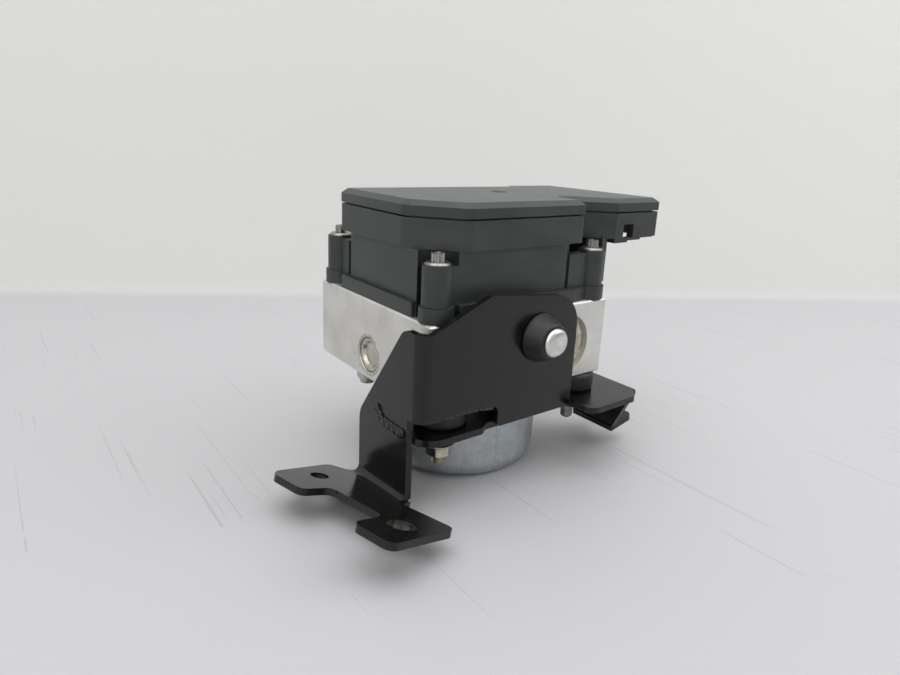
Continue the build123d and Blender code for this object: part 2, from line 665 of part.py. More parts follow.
def make_valve(x, y, is_inlet):
    flange_top = BLOCK_TOP + VALVE_FLANGE_HEIGHT
    dome_top = BLOCK_TOP + VALVE_DOME_HEIGHT
    valve = rod_z(x, y, VALVE_FLOOR, flange_top, VALVE_BORE_RADIUS)
    valve += rod_z(x, y, flange_top, dome_top, VALVE_DOME_RADIUS)
    valve = fillet(edges_at(valve, Axis.Z, dome_top), VALVE_DOME_CORNER)
    hollow_bottom = armature_top() - ARMATURE_LENGTH
    valve -= rod_z(x, y, hollow_bottom, dome_top - VALVE_DOME_WALL, valve_cavity_radius())
    passage = INLET_PASSAGE_RADIUS if is_inlet else OUTLET_PASSAGE_RADIUS
    return valve - rod_z(x, y, VALVE_FLOOR - CUT, hollow_bottom + CUT, passage)


def make_armature(x, y):
    top = armature_top()
    return rod_z(x, y, top - ARMATURE_LENGTH, top, valve_cavity_radius() - RUNNING)


def make_solenoid_coil(x, y):
    bottom = BLOCK_TOP + VALVE_FLANGE_HEIGHT
    top = bottom + COIL_HEIGHT
    coil = rod_z(x, y, bottom, top, COIL_RADIUS)
    coil -= rod_z(x, y, bottom - CUT, top + CUT, VALVE_DOME_RADIUS + MOULD_GAP)
    for side in (-1, 1):
        coil += rod_z(x, y + side * COIL_PIN_OFFSET, top, BOARD_BOTTOM, COIL_PIN_RADIUS)
    return coil


# ---------------------------------------------------------------- motor
def make_motor_can():
    can = rod_z(0, 0, 0, CAN_TOP, MOTOR_RADIUS)
    can = fillet(edges_at(can, Axis.Z, 0), CAN_CORNER)
    hollow = rod_z(0, 0, CAN_WALL, CAN_TOP + CUT, CAN_BORE)
    can -= fillet(edges_at(hollow, Axis.Z, CAN_WALL), CAN_CORNER - CAN_WALL)
    seat = rod_z(0, 0, CAN_WALL, CAN_WALL + BUSH_HEIGHT, BUSH_RADIUS + BUSH_SEAT_WALL)
    seat -= rod_z(0, 0, CAN_WALL, CAN_WALL + BUSH_HEIGHT, BUSH_RADIUS)
    return can + seat


def make_rear_bush():
    bush = rod_z(0, 0, CAN_WALL, CAN_WALL + BUSH_HEIGHT, BUSH_RADIUS)
    return bush - rod_z(0, 0, 0, CAN_TOP, SHAFT_RADIUS + RUNNING)


def make_magnet(side):
    outer = CAN_BORE - MOULD_GAP
    magnet = rod_z(0, 0, MAGNET_BOTTOM, MAGNET_BOTTOM + MAGNET_HEIGHT, outer)
    magnet -= rod_z(0, 0, 0, CAN_TOP, CAN_BORE - MAGNET_THICKNESS)
    half = math.radians(MAGNET_SPAN / 2)
    reach = 2 * MOTOR_RADIUS
    edge = (reach * math.cos(half), reach * math.sin(half))
    corners = [(0, 0, 0), (edge[0], -edge[1], 0), (2 * reach, 0, 0), (edge[0], edge[1], 0)]
    wedge = prism_z(corners, 0, CAN_TOP)
    return magnet & (Rot(0, 0, 90 - 90 * side) * wedge)


def slot_bars(radius, width, z0, z1):
    """One radial bar for each rotor slot."""
    bars = []
    for i in range(SLOT_COUNT):
        bar = block_between(CORE_RADIUS - SLOT_DEPTH, radius, -width / 2, width / 2, z0, z1)
        bars.append(Rot(0, 0, 360 * i / SLOT_COUNT) * bar)
    return bars


def make_rotor_core():
    core = rod_z(0, 0, CORE_BOTTOM, CORE_TOP, CORE_RADIUS)
    for bar in slot_bars(CORE_RADIUS + CUT, SLOT_WIDTH, CORE_BOTTOM - CUT, CORE_TOP + CUT):
        core -= bar
    return core - rod_z(0, 0, 0, CAN_TOP, SHAFT_RADIUS)


def make_rotor_windings():
    outer = CORE_RADIUS - WINDING_INSET
    inner = CORE_RADIUS - SLOT_DEPTH + WINDING_ROOT
    windings = rod_z(0, 0, CORE_BOTTOM - END_TURN_HEIGHT, CORE_BOTTOM, outer)
    windings += rod_z(0, 0, CORE_TOP, CORE_TOP + END_TURN_HEIGHT, outer)
    windings -= rod_z(0, 0, 0, CAN_TOP, inner)
    for bar in slot_bars(outer - WINDING_ROOT, SLOT_WIDTH, CORE_BOTTOM, CORE_TOP):
        windings += bar
    return windings


def make_rotor_shaft():
    bearing_top = BLOCK_BOTTOM + BEARING_HEIGHT
    eccentric_bottom = bearing_top + LOOSE
    eccentric_top = 2 * PUMP_Z - eccentric_bottom
    shaft = rod_z(0, 0, CAN_WALL + LOOSE, eccentric_bottom, SHAFT_RADIUS)
    shaft += rod_z(ECCENTRIC_THROW, 0, eccentric_bottom, eccentric_top, ECCENTRIC_RADIUS)
    shaft += rod_z(0, 0, eccentric_top, eccentric_top + SHAFT_STUB, SHAFT_RADIUS)
    return shaft


def make_commutator():
    top = BRUSH_PLATE_BOTTOM
    bottom = top - COMMUTATOR_HEIGHT
    commutator = rod_z(0, 0, bottom, top, COMMUTATOR_RADIUS)
    floor = COMMUTATOR_RADIUS - COMMUTATOR_SLIT_DEPTH
    half = COMMUTATOR_SLIT_WIDTH / 2
    slit = block_between(floor, COMMUTATOR_RADIUS + CUT, -half, half, bottom, top)
    for i in range(SLOT_COUNT):
        commutator -= Rot(0, 0, 360 * i / SLOT_COUNT) * slit
    return commutator - rod_z(0, 0, 0, CAN_TOP, SHAFT_RADIUS)


def make_brush(side):
    start = COMMUTATOR_RADIUS + LOOSE
    half = BRUSH_WIDTH / 2
    x0, x1 = sorted((side * start, side * (start + BRUSH_LENGTH)))
    return block_between(x0, x1, -half, half, BRUSH_BOTTOM, BRUSH_PLATE_BOTTOM)


def make_brush_holder():
    plate = rod_z(0, 0, BRUSH_PLATE_BOTTOM, CAN_TOP, BRUSH_PLATE_RADIUS)
    plate -= rod_z(0, 0, 0, BLOCK_TOP, COMMUTATOR_RADIUS + BRUSH_PLATE_GAP)
    half = BRUSH_WIDTH / 2 + MOULD_GAP
    start = COMMUTATOR_RADIUS + BRUSH_GUIDE_GAP
    end = COMMUTATOR_RADIUS + LOOSE + BRUSH_LENGTH + MOULD_GAP
    for side in (-1, 1):
        x0, x1 = sorted((side * start, side * (end + BRUSH_GUIDE_WALL)))
        outer = half + BRUSH_GUIDE_WALL
        guide = block_between(x0, x1, -outer, outer, BRUSH_BOTTOM, BRUSH_PLATE_BOTTOM)
        x0, x1 = sorted((side * (start - CUT), side * end))
        guide -= block_between(x0, x1, -half, half, BRUSH_BOTTOM - CUT, BRUSH_PLATE_BOTTOM)
        plate += guide
    return plate - rod_z(VALVE_CENTRE_X, LEAD_Y, 0, BLOCK_TOP, LEAD_RADIUS)


def make_motor_flange():
    flange = rod_z(0, 0, CAN_TOP, BLOCK_BOTTOM, FLANGE_RADIUS)
    ear_radius = MOTOR_EAR_RADIUS
    for x, y in motor_screw_places():
        ear = rod_z(x, y, CAN_TOP, BLOCK_BOTTOM, ear_radius)
        root = block_between(0, MOTOR_SCREW_CIRCLE, -ear_radius, ear_radius, CAN_TOP, BLOCK_BOTTOM)
        turn = math.degrees(math.atan2(y, x))
        flange += ear + Rot(0, 0, turn) * root
    flange -= rod_z(0, 0, 0, BLOCK_TOP, MOTOR_FLANGE_BORE)
    flange -= rod_z(VALVE_CENTRE_X, LEAD_Y, 0, BLOCK_TOP, LEAD_RADIUS)
    for x, y in motor_screw_places():
        flange -= rod_z(x, y, 0, BLOCK_TOP, MOTOR_SCREW_RADIUS)
    return flange


def make_motor_screw(x, y):
    head_bottom = CAN_TOP - MOTOR_SCREW_HEAD_HEIGHT
    screw = rod_z(x, y, head_bottom, CAN_TOP, MOTOR_SCREW_HEAD_RADIUS)
    screw = fillet(edges_at(screw, Axis.Z, head_bottom), MOTOR_SCREW_EDGE)
    screw += rod_z(x, y, CAN_TOP, BLOCK_BOTTOM + MOTOR_SCREW_DEPTH, MOTOR_SCREW_RADIUS)
    hexagon = Pos(x, y, head_bottom) * RegularPolygon(MOTOR_SCREW_SOCKET_RADIUS, 6)
    return screw - extrude(hexagon, amount=MOTOR_SCREW_SOCKET_DEPTH, dir=(0, 0, 1))


def make_front_bearing():
    top = BLOCK_BOTTOM + BEARING_HEIGHT
    bearing = rod_z(0, 0, BLOCK_BOTTOM, top, BEARING_RADIUS)
    outer = BEARING_RADIUS - BEARING_RACE_WALL
    inner = SHAFT_RADIUS + BEARING_RACE_WALL
    for z0 in (BLOCK_BOTTOM - CUT, top - BEARING_GROOVE):
        z1 = z0 + CUT + BEARING_GROOVE
        bearing -= rod_z(0, 0, z0, z1, outer) - rod_z(0, 0, z0, z1, inner)
    return bearing - rod_z(0, 0, 0, BLOCK_TOP, SHAFT_RADIUS + RUNNING)


def make_motor_seal():
    top = BLOCK_BOTTOM + MOTOR_SEAL_SECTION
    seal = rod_z(0, 0, BLOCK_BOTTOM, top, MOTOR_SEAL_RADIUS)
    return seal - rod_z(0, 0, 0, BLOCK_TOP, MOTOR_SEAL_RADIUS - MOTOR_SEAL_SECTION)


def make_motor_lead():
    """Stem that carries the motor's two pins through the block to the board."""
    stem_top = BLOCK_TOP + VALVE_DOME_HEIGHT
    lead = rod_z(VALVE_CENTRE_X, LEAD_Y, BRUSH_PLATE_BOTTOM, stem_top, LEAD_RADIUS)
    for side in (-1, 1):
        pin_x = VALVE_CENTRE_X + side * LEAD_PIN_PITCH / 2
        lead += rod_z(pin_x, LEAD_Y, stem_top, BOARD_BOTTOM, LEAD_PIN_RADIUS)
    return lead


# ---------------------------------------------------------------- electronic unit
def lid_corners():
    """Outline of the lid: main body, neck and connector arm, counter-clockwise."""
    return [
        (LID_LEFT, LID_FRONT + LID_CORNER_Y, UNIT_LARGE_CORNER),
        (LID_LEFT + LID_CORNER_X, LID_FRONT, UNIT_LARGE_CORNER),
        (LID_RIGHT, LID_FRONT, UNIT_SMALL_CORNER),
        (LID_RIGHT, NECK_FRONT, UNIT_SMALL_CORNER),
        (NECK_LEFT, NECK_FRONT, UNIT_SMALL_CORNER),
        (SOCKET_LEFT, SOCKET_FRONT, UNIT_SMALL_CORNER),
        (SOCKET_RIGHT, SOCKET_FRONT, UNIT_SMALL_CORNER),
        (SOCKET_RIGHT, SOCKET_BACK, UNIT_CORNER),
        (NECK_BACK_RIGHT, SOCKET_BACK, UNIT_CORNER),
        (NECK_BACK_LEFT, LID_BACK, UNIT_CORNER),
        (LID_LEFT, LID_BACK, UNIT_CORNER),
    ]


def lower_corners():
    """Outline of the housing's lower body."""
    return rectangle(LOWER_LEFT, LOWER_RIGHT, LOWER_FRONT, LOWER_BACK, LOWER_CORNER)


def skirt_corners():
    """Outline of the base flange, notched beside the near left post."""
    return [
        (SKIRT_LEFT, SKIRT_NOTCH_Y, SKIRT_CORNER / 2),
        (SKIRT_NOTCH_X, SKIRT_NOTCH_Y, SKIRT_NOTCH_CORNER),
        (SKIRT_NOTCH_X, SKIRT_FRONT, SKIRT_CORNER / 2),
        (SKIRT_RIGHT, SKIRT_FRONT, SKIRT_CORNER),
        (SKIRT_RIGHT, SKIRT_BACK, SKIRT_CORNER),
        (SKIRT_LEFT, SKIRT_BACK, SKIRT_CORNER),
    ]


def coil_room_corners():
    """Outline of the room for the coils, cut off beside the niche round the near left post."""
    x0 = LOWER_LEFT + UNIT_WALL
    y0 = LOWER_FRONT + UNIT_WALL
    x1 = LOWER_RIGHT - UNIT_WALL
    y1 = LOWER_BACK - UNIT_WALL
    radius = LOWER_CORNER - UNIT_WALL
    reach = (POST_NICHE_RADIUS + UNIT_WALL + SEAL_WIDTH) * math.sqrt(2)
    cut = reach - (x0 + POST_X) - (y0 + POST_Y)
    return [
        (x0, y0 + cut, radius),
        (x0 + cut, y0, radius),
        (x1, y0, radius),
        (x1, y1, radius),
        (x0, y1, radius),
    ]


def socket_corners(gap=0.0):
    """Outline of the connector shroud below the arm."""
    x0 = SOCKET_LEFT + SHROUD_INSET_NEAR + gap
    x1 = SOCKET_RIGHT - SHROUD_INSET_FAR - gap
    y0 = SOCKET_FRONT + SHROUD_INSET_NEAR + gap
    y1 = SOCKET_BACK - SHROUD_INSET_FAR - gap
    return rectangle(x0, x1, y0, y1, SHROUD_CORNER)


def web_between(x0, y0, x1, y1, top):
    """Upright web between two plan points."""
    length = math.hypot(x1 - x0, y1 - y0)
    turn = math.degrees(math.atan2(y1 - y0, x1 - x0))
    height = top - BLOCK_TOP
    web = Pos(length / 2, 0, height / 2) * Box(length, WEB_THICKNESS, height)
    return Pos(x0, y0, BLOCK_TOP) * Rot(0, 0, turn) * web


def make_posts():
    """Four posts with their feet and the webs that join them to the lower body."""
    posts = Part()
    web_top = POST_TOP - WEB_DROP
    foot_top = BLOCK_TOP + SKIRT_HEIGHT
    for x, y in POST_PLACES:
        posts += rod_z(x, y, BLOCK_TOP, POST_TOP, POST_RADIUS)
        posts += rod_z(x, y, BLOCK_TOP, foot_top, POST_FOOT_RADIUS)
    inner_left = LOWER_LEFT + LOWER_CORNER * 2
    inner_right = LOWER_RIGHT - LOWER_CORNER / 2
    inner_back = LOWER_BACK - UNIT_WALL / 2
    posts += web_between(-POST_X, -POST_Y, inner_left, -POST_Y, web_top)
    posts += web_between(inner_right, -POST_Y, POST_X, -POST_Y, web_top)
    posts += web_between(inner_right, SKIRT_FRONT + WEB_THICKNESS / 2, POST_X, -POST_Y, foot_top)
    posts += web_between(-POST_X, inner_back, -POST_X, POST_Y, web_top)
    posts += web_between(inner_right, inner_back - WEB_ROOT, POST_X, POST_Y, web_top)
    return posts


def shroud_steps():
    """Connector shroud below the arm, deepest beside the guard wall."""
    corners = socket_corners()
    x0 = corners[0][0]
    y0 = corners[0][1]
    x1 = corners[1][0]
    y1 = corners[2][1]
    third = (x1 - x0) / 3
    steps = Part()
    for i in range(3):
        start = x0 + i * third
        bottom = UPPER_BOTTOM - SOCKET_SHROUD + i * SOCKET_SHROUD_STEP
        steps += block_between(start, start + third, y0, y1, bottom, UPPER_BOTTOM + CUT)
    return steps


def make_ecu_housing():
    upper = inset(lid_corners(), UPPER_INSET)
    body = prism_z(lower_corners(), BLOCK_TOP, UPPER_BOTTOM)
    body -= rod_z(-POST_X, -POST_Y, BLOCK_TOP - CUT, UPPER_BOTTOM + CUT, POST_NICHE_RADIUS)
    body += prism_z(upper, UPPER_BOTTOM, UPPER_TOP)
    body += prism_z(skirt_corners(), BLOCK_TOP, BLOCK_TOP + SKIRT_HEIGHT)
    body += make_posts()
    guard_bottom = UPPER_BOTTOM - GUARD_HEIGHT
    guard_right = GUARD_X + GUARD_THICKNESS
    body += block_between(
        GUARD_X, guard_right, GUARD_FRONT, GUARD_BACK, guard_bottom, UPPER_BOTTOM + CUT
    )
    body += shroud_steps()
    # board chamber, then the ledge that carries the board
    chamber = inset(upper, UNIT_WALL + BOARD_LEDGE)
    floor = UPPER_BOTTOM + UNIT_WALL
    main_room = block_between(LID_LEFT, SOCKET_LEFT, LID_FRONT, LID_BACK + CUT, floor, UPPER_TOP + CUT)
    room = prism_z(chamber, floor, UPPER_TOP + CUT) & main_room
    body -= room
    body -= prism_z(inset(upper, UNIT_WALL), BOARD_BOTTOM, UPPER_TOP + CUT)
    # coil room, open towards the block
    body -= prism_z(coil_room_corners(), BLOCK_TOP - CUT, UPPER_BOTTOM)
    # connector socket
    socket = prism_z(socket_corners(SOCKET_WALL), UPPER_BOTTOM - GUARD_HEIGHT, SOCKET_ROOF)
    body -= socket
    body -= block_between(
        WINDOW_X,
        WINDOW_X + WINDOW_WIDTH,
        SOCKET_FRONT - CUT,
        SOCKET_FRONT + SHROUD_INSET_NEAR + SOCKET_WALL + CUT,
        UPPER_BOTTOM,
        UPPER_BOTTOM + WINDOW_HEIGHT,
    )
    for x, y in POST_PLACES:
        body -= rod_z(x, y, BLOCK_TOP - CUT, POST_TOP + CUT, SLEEVE_RADIUS)
    body -= make_seal_ring()
    # holes for the pins that pass through the moulding
    for x, y in valve_places():
        for side in (-1, 1):
            pin_y = y + side * COIL_PIN_OFFSET
            body -= rod_z(x, pin_y, UPPER_BOTTOM - CUT, floor + CUT, COIL_PIN_RADIUS)
    for side in (-1, 1):
        pin_x = VALVE_CENTRE_X + side * LEAD_PIN_PITCH / 2
        body -= rod_z(pin_x, LEAD_Y, UPPER_BOTTOM - CUT, floor + CUT, LEAD_PIN_RADIUS)
    for pin in connector_pin_solids():
        body -= pin
    return body


def make_seal_ring():
    """Perimeter seal in a groove on the housing's underside."""
    outer = inset(coil_room_corners(), SEAL_SHIFT - UNIT_WALL / 2 - SEAL_WIDTH / 2)
    inner = inset(outer, SEAL_WIDTH)
    ring = prism_z(outer, BLOCK_TOP, BLOCK_TOP + SEAL_HEIGHT)
    return ring - prism_z(inner, BLOCK_TOP - CUT, BLOCK_TOP + SEAL_HEIGHT + CUT)


def make_ecu_lid():
    outline = lid_corners()
    lid = prism_z(outline, LID_BOTTOM, LID_RIM_TOP)
    low = Pos(0, 0, LID_RIM_TOP) * rounded_face(outline)
    high = Pos(0, 0, LID_TOP) * rounded_face(inset(outline, LID_SLOPE_WIDTH))
    lid += loft([low, high], ruled=True)
    hollow = inset(outline, LID_SLOPE_WIDTH + LID_WALL)
    lid -= prism_z(hollow, LID_BOTTOM - CUT, LID_TOP - LID_WALL)
    # lip that plugs into the housing and holds the board down
    lip = inset(outline, UPPER_INSET + UNIT_WALL + MOULD_GAP)
    ring = prism_z(lip, BOARD_TOP, LID_BOTTOM + LID_LIP_ROOT)
    ring -= prism_z(inset(lip, LID_LIP_WALL), BOARD_TOP - CUT, LID_BOTTOM + CUT)
    return lid + ring


def make_circuit_board():
    outline = inset(lid_corners(), UPPER_INSET + UNIT_WALL + MOULD_GAP)
    return prism_z(outline, BOARD_BOTTOM, BOARD_TOP)


def connector_pin_solids():
    """Signal pins in rows and two power blades, from the board into the socket."""
    pins = []
    bottom = SOCKET_ROOF - PIN_REACH
    half = PIN_SIZE / 2
    centre_y = (SOCKET_FRONT + SOCKET_BACK) / 2
    for x in PIN_ROWS_X:
        for i in range(PIN_COUNT):
            y = centre_y + PIN_PITCH * (i - (PIN_COUNT - 1) / 2)
            pins.append(block_between(x - half, x + half, y - half, y + half, bottom, BOARD_BOTTOM))
    reach = PIN_PITCH * (PIN_COUNT - 1) / 2 + BLADE_WIDTH
    for side in (-1, 1):
        y = centre_y + side * reach
        x = PIN_ROWS_X[1]
        half_x = BLADE_WIDTH / 2
        half_y = BLADE_THICKNESS / 2
        pins.append(
            block_between(x - half_x, x + half_x, y - half_y, y + half_y, bottom, BOARD_BOTTOM)
        )
    return pins


def make_sleeve(x, y):
    sleeve = rod_z(x, y, BLOCK_TOP, POST_TOP, SLEEVE_RADIUS)
    return sleeve - rod_z(x, y, BLOCK_TOP - CUT, POST_TOP + CUT, SLEEVE_BORE)


def make_housing_bolt(x, y):
    """Flange bolt with an external star head."""
    flange_top = POST_TOP + BOLT_FLANGE_HEIGHT
    bolt = rod_z(x, y, POST_TOP, flange_top, BOLT_FLANGE_RADIUS)
    bolt = chamfer(edges_at(bolt, Axis.Z, flange_top), BOLT_FLANGE_CHAMFER)
    bolt += rod_z(x, y, BLOCK_TOP - BOLT_DEPTH, POST_TOP, BOLT_RADIUS)
    head_top = flange_top + BOLT_HEAD_HEIGHT
    root = BOLT_HEAD_ROOT
    head = rod_z(x, y, flange_top, head_top, root)
    for i in range(BOLT_HEAD_LOBES):
        angle = 2 * math.pi * i / BOLT_HEAD_LOBES
        lobe_x = x + root * math.cos(angle)
        lobe_y = y + root * math.sin(angle)
        head += rod_z(lobe_x, lobe_y, flange_top, head_top, BOLT_HEAD_RADIUS - root)
    head -= rod_z(x, y, head_top - BOLT_RECESS_DEPTH, head_top + CUT, BOLT_RECESS_RADIUS)
    return bolt + head


# ---------------------------------------------------------------- stamped bracket
def foot_plane():
    """Plane of the left foot's top face, turned in plan and tilted."""
    rise_x = -FOOT_TILT_X
    rise_y = -FOOT_TILT_Y
    turn = math.radians(FOOT_TURN)
    along = rise_x * math.cos(turn) + rise_y * math.sin(turn)
    return Plane(
        origin=(WING_OUTER, FOOT_DATUM_Y, FOOT_TOP),
        x_dir=(math.cos(turn), math.sin(turn), along),
        z_dir=(-rise_x, -rise_y, 1),
    )


def foot_height(x, y):
    """Height of the left foot's top plane above a plan point."""
    return FOOT_TOP - FOOT_TILT_X * (x - WING_OUTER) - FOOT_TILT_Y * (y - FOOT_DATUM_Y)


def make_plate():
    corners = [
        (BEND_X, NOTCH_TOP, 0),
        (NOTCH_RIGHT, NOTCH_TOP, NOTCH_CORNER),
        (NOTCH_RIGHT, PLATE_BOTTOM, PLATE_LOW_LEFT_CORNER),
        (PLATE_RIGHT, PLATE_BOTTOM, PLATE_LOW_RIGHT_CORNER),
        (PLATE_RIGHT, PLATE_TOP_RIGHT, PLATE_CORNER),
        (PLATE_TOP_X, PLATE_TOP_LEFT, PLATE_SHOULDER_CORNER),
        (BEND_X, PLATE_SHOULDER, 0),
    ]
    return prism_y(corners, PLATE_OUTER, PLATE_INNER)


def make_bend():
    outer = BEND_INNER + SHEET
    ring = rod_z(BEND_X, BEND_Y, NOTCH_TOP, PLATE_SHOULDER, outer)
    ring -= rod_z(BEND_X, BEND_Y, NOTCH_TOP - CUT, PLATE_SHOULDER + CUT, BEND_INNER)
    quarter = block_between(
        BEND_X - outer, BEND_X, BEND_Y - outer, BEND_Y, NOTCH_TOP, PLATE_SHOULDER
    )
    return ring & quarter


def make_wing():
    def bottom(y):
        return foot_height(WING_INNER, y) - WING_ROOT

    corners = [
        (WING_FRONT, bottom(WING_FRONT), 0),
        (WING_BACK, bottom(WING_BACK), 0),
        (WING_BACK, WING_KNEE, WING_KNEE_CORNER),
        (WING_TOP_Y, PLATE_SHOULDER, WING_TOP_CORNER),
        (BEND_Y, PLATE_SHOULDER, 0),
        (BEND_Y, NOTCH_TOP, 0),
        (WING_FRONT, NOTCH_TOP, 0),
    ]
    return prism_x(corners, WING_OUTER, WING_INNER)


def make_foot():
    """Foot with a plain-holed rear ear and a front ear for the weld nut, joined by a strip."""
    corners = [
        (EAR_LEFT, EAR_NEAR, EAR_CORNER),
        (STRIP_LEFT, EAR_NEAR - EAR_SLOPE, EAR_CORNER),
        (STRIP_LEFT, FRONT_EAR_FAR, EAR_CORNER),
        (FRONT_EAR_LEFT, FRONT_EAR_FAR, EAR_CORNER),
        (FRONT_EAR_LEFT, FRONT_EAR_NEAR, EAR_CORNER),
        (FRONT_EAR_RIGHT, FRONT_EAR_NEAR, EAR_CORNER),
        (TOE_U, TOE_V, EAR_CORNER / 2),
        (*INNER_NEAR, 0),
        (*INNER_FAR, 0),
        (HEEL_U, HEEL_V, EAR_CORNER),
        (0.0, EAR_FAR_RIGHT, EAR_CORNER),
        (EAR_LEFT, EAR_FAR, EAR_CORNER * 1.5),
    ]
    plane = foot_plane()
    face = plane * rounded_face(corners)
    foot = extrude(face, amount=SHEET, dir=-plane.z_dir)
    hole = plane * Pos(FOOT_HOLE_U, FOOT_HOLE_V, 0) * Cylinder(FOOT_HOLE_RADIUS, 4 * SHEET)
    collar = plane * Pos(NUT_U, NUT_V, 0) * Cylinder(NUT_COLLAR_RADIUS, 4 * SHEET)
    reach = MOTOR_RADIUS / 2
    beyond = block_between(WING_INNER, WING_INNER + reach, BLOCK_FRONT, reach, -reach, 2 * reach)
    return foot - hole - collar - beyond


def outer_bend_cut():
    """Corner taken off below the wing, so that the bend into the foot is round outside."""
    radius = FOOT_BEND_OUTER
    thickness = SHEET / foot_plane().z_dir.Z
    ends = []
    for y in (WING_FRONT - CUT / 2, WING_BACK + 2 * SHEET):
        ends.append(Vector(WING_INNER, y, foot_height(WING_INNER, y) - thickness))
    along = ends[1] - ends[0]
    section = Plane(origin=ends[0], x_dir=(1, 0, 0), z_dir=along)
    tilt = math.atan(FOOT_TILT_X)
    tangent = radius / math.tan((math.pi / 2 - tilt) / 2)
    kite = [
        (0, 0, 0),
        (0, -tangent, 0),
        (-radius, -tangent, 0),
        (-tangent * math.cos(tilt), -tangent * math.sin(tilt), 0),
    ]
    corner = extrude(section * rounded_face(kite), amount=along.length, dir=along)
    middle = section * Pos(-radius, -tangent, along.length / 2)
    return corner - middle * Cylinder(radius, along.length + 2 * CUT)


def make_mounting_bracket():
    start = PLATE_OUTER - CUT
    hole = rod_y(GROMMET_X, start, PLATE_INNER + CUT, GROMMET_Z, GROMMET_NECK_RADIUS)
    sheet = make_plate() - hole + make_bend() + make_wing() + make_foot()
    middle_y = (WING_FRONT + WING_BACK) / 2
    inside = Vector(WING_OUTER, middle_y, foot_height(WING_OUTER, middle_y))
    inside_edge = sheet.edges().filter_by(GeomType.LINE).sort_by_distance(inside)[0]
    return fillet(inside_edge, FOOT_BEND) - outer_bend_cut()


def make_weld_nut():
    plane = foot_plane()
    under = -SHEET
    nut = plane * Pos(NUT_U, NUT_V, under - NUT_HEIGHT / 2) * Cylinder(NUT_BODY_RADIUS, NUT_HEIGHT)
    collar_height = SHEET - NUT_COLLAR_DROP
    collar_radius = NUT_COLLAR_RADIUS - NUT_CLEARANCE
    collar_z = under + collar_height / 2
    nut += plane * Pos(NUT_U, NUT_V, collar_z) * Cylinder(collar_radius, collar_height)
    thread = plane * Pos(NUT_U, NUT_V, 0) * Cylinder(NUT_THREAD_RADIUS, 4 * SHEET)
    return nut - thread


# ---------------------------------------------------------------- cradle
def make_cradle():
    behind_plate = PLATE_INNER + LOOSE
    corners = [
        (WING_INNER, CRADLE_BACK, 0),
        (WING_INNER, TAB_FRONT, TAB_CORNER),
        (TAB_RIGHT, TAB_FRONT, TAB_STEP_CORNER),
        (TAB_RIGHT + TAB_STEP, behind_plate, TAB_STEP_CORNER),
        (SHELF_LEFT, behind_plate, SHELF_ROOT_CORNER),
        (SHELF_LEFT, SHELF_FRONT, SHELF_FRONT_CORNER),
        (SHELF_CHAMFER_X, SHELF_FRONT, SHELF_CHAMFER_CORNER),
        (RIGHT_WING_X, SHELF_CHAMFER_Y, 0),
        (RIGHT_WING_X, CRADLE_BACK, 0),
    ]
    cradle = prism_z(corners, CRADLE_BOTTOM, CRADLE_TOP)
    cradle -= rod_z(0, 0, 0, BLOCK_TOP, CRADLE_ARC)
    cradle += make_right_wing()
    for x in ISOLATOR_PLACES:
        cradle -= rod_z(x, ISOLATOR_Y, 0, CRADLE_TOP + CUT, ISOLATOR_NECK_RADIUS)
    return cradle


def make_right_wing():
    """Wing bent down from the cradle's right edge, with its tilted foot."""
    outer = RIGHT_WING_X + SHEET
    corners = [
        (RIGHT_WING_LOW_Y, RIGHT_WING_BOTTOM, 0),
        (CRADLE_BACK, RIGHT_WING_BOTTOM, 0),
        (CRADLE_BACK, CRADLE_TOP, 0),
        (SHELF_CHAMFER_Y, CRADLE_TOP, 0),
        (SHELF_CHAMFER_Y, CRADLE_BOTTOM, 0),
    ]
    wing = prism_x(corners, RIGHT_WING_X, outer)
    outer_edges = wing.edges().filter_by_position(Axis.X, outer - LOOSE, outer + LOOSE)
    wing = fillet(edges_at(outer_edges, Axis.Z, CRADLE_TOP), RIGHT_WING_BEND)
    reach = RIGHT_FOOT_OUT - RIGHT_WING_X
    middle_y = (RIGHT_WING_LOW_Y + CRADLE_BACK) / 2
    foot = Pos(reach / 2, 0, SHEET / 2) * Box(reach, CRADLE_BACK - RIGHT_WING_LOW_Y, SHEET)
    foot = fillet(foot.edges().filter_by(Axis.Z).sort_by(Axis.X)[-2:], RIGHT_FOOT_CORNER)
    place = Pos(RIGHT_WING_X, middle_y, RIGHT_WING_BOTTOM - SHEET)
    foot = place * Rot(0, -RIGHT_FOOT_TILT, 0) * foot
    foot -= rod_z(RIGHT_FOOT_HOLE_X, RIGHT_FOOT_HOLE_Y, 0, CRADLE_BOTTOM, RIGHT_FOOT_HOLE_RADIUS)
    return wing + foot


# ---------------------------------------------------------------- isolators and fixings
def make_isolator(x):
    lower_bottom = CRADLE_BOTTOM - ISOLATOR_LOWER_HEIGHT
    upper = rod_z(x, ISOLATOR_Y, CRADLE_TOP, BLOCK_BOTTOM, ISOLATOR_RADIUS)
    rims = edges_at(upper, Axis.Z, CRADLE_TOP) + edges_at(upper, Axis.Z, BLOCK_BOTTOM)
    upper = fillet(rims, ISOLATOR_EDGE)
    lower = rod_z(x, ISOLATOR_Y, lower_bottom, CRADLE_BOTTOM, ISOLATOR_LOWER_RADIUS)
    lower = chamfer(edges_at(lower, Axis.Z, lower_bottom), ISOLATOR_LOWER_EDGE)
    neck = rod_z(x, ISOLATOR_Y, CRADLE_BOTTOM, CRADLE_TOP, ISOLATOR_NECK_RADIUS)
    return upper + neck + lower - rod_z(x, ISOLATOR_Y, 0, BLOCK_TOP, STUD_RADIUS)


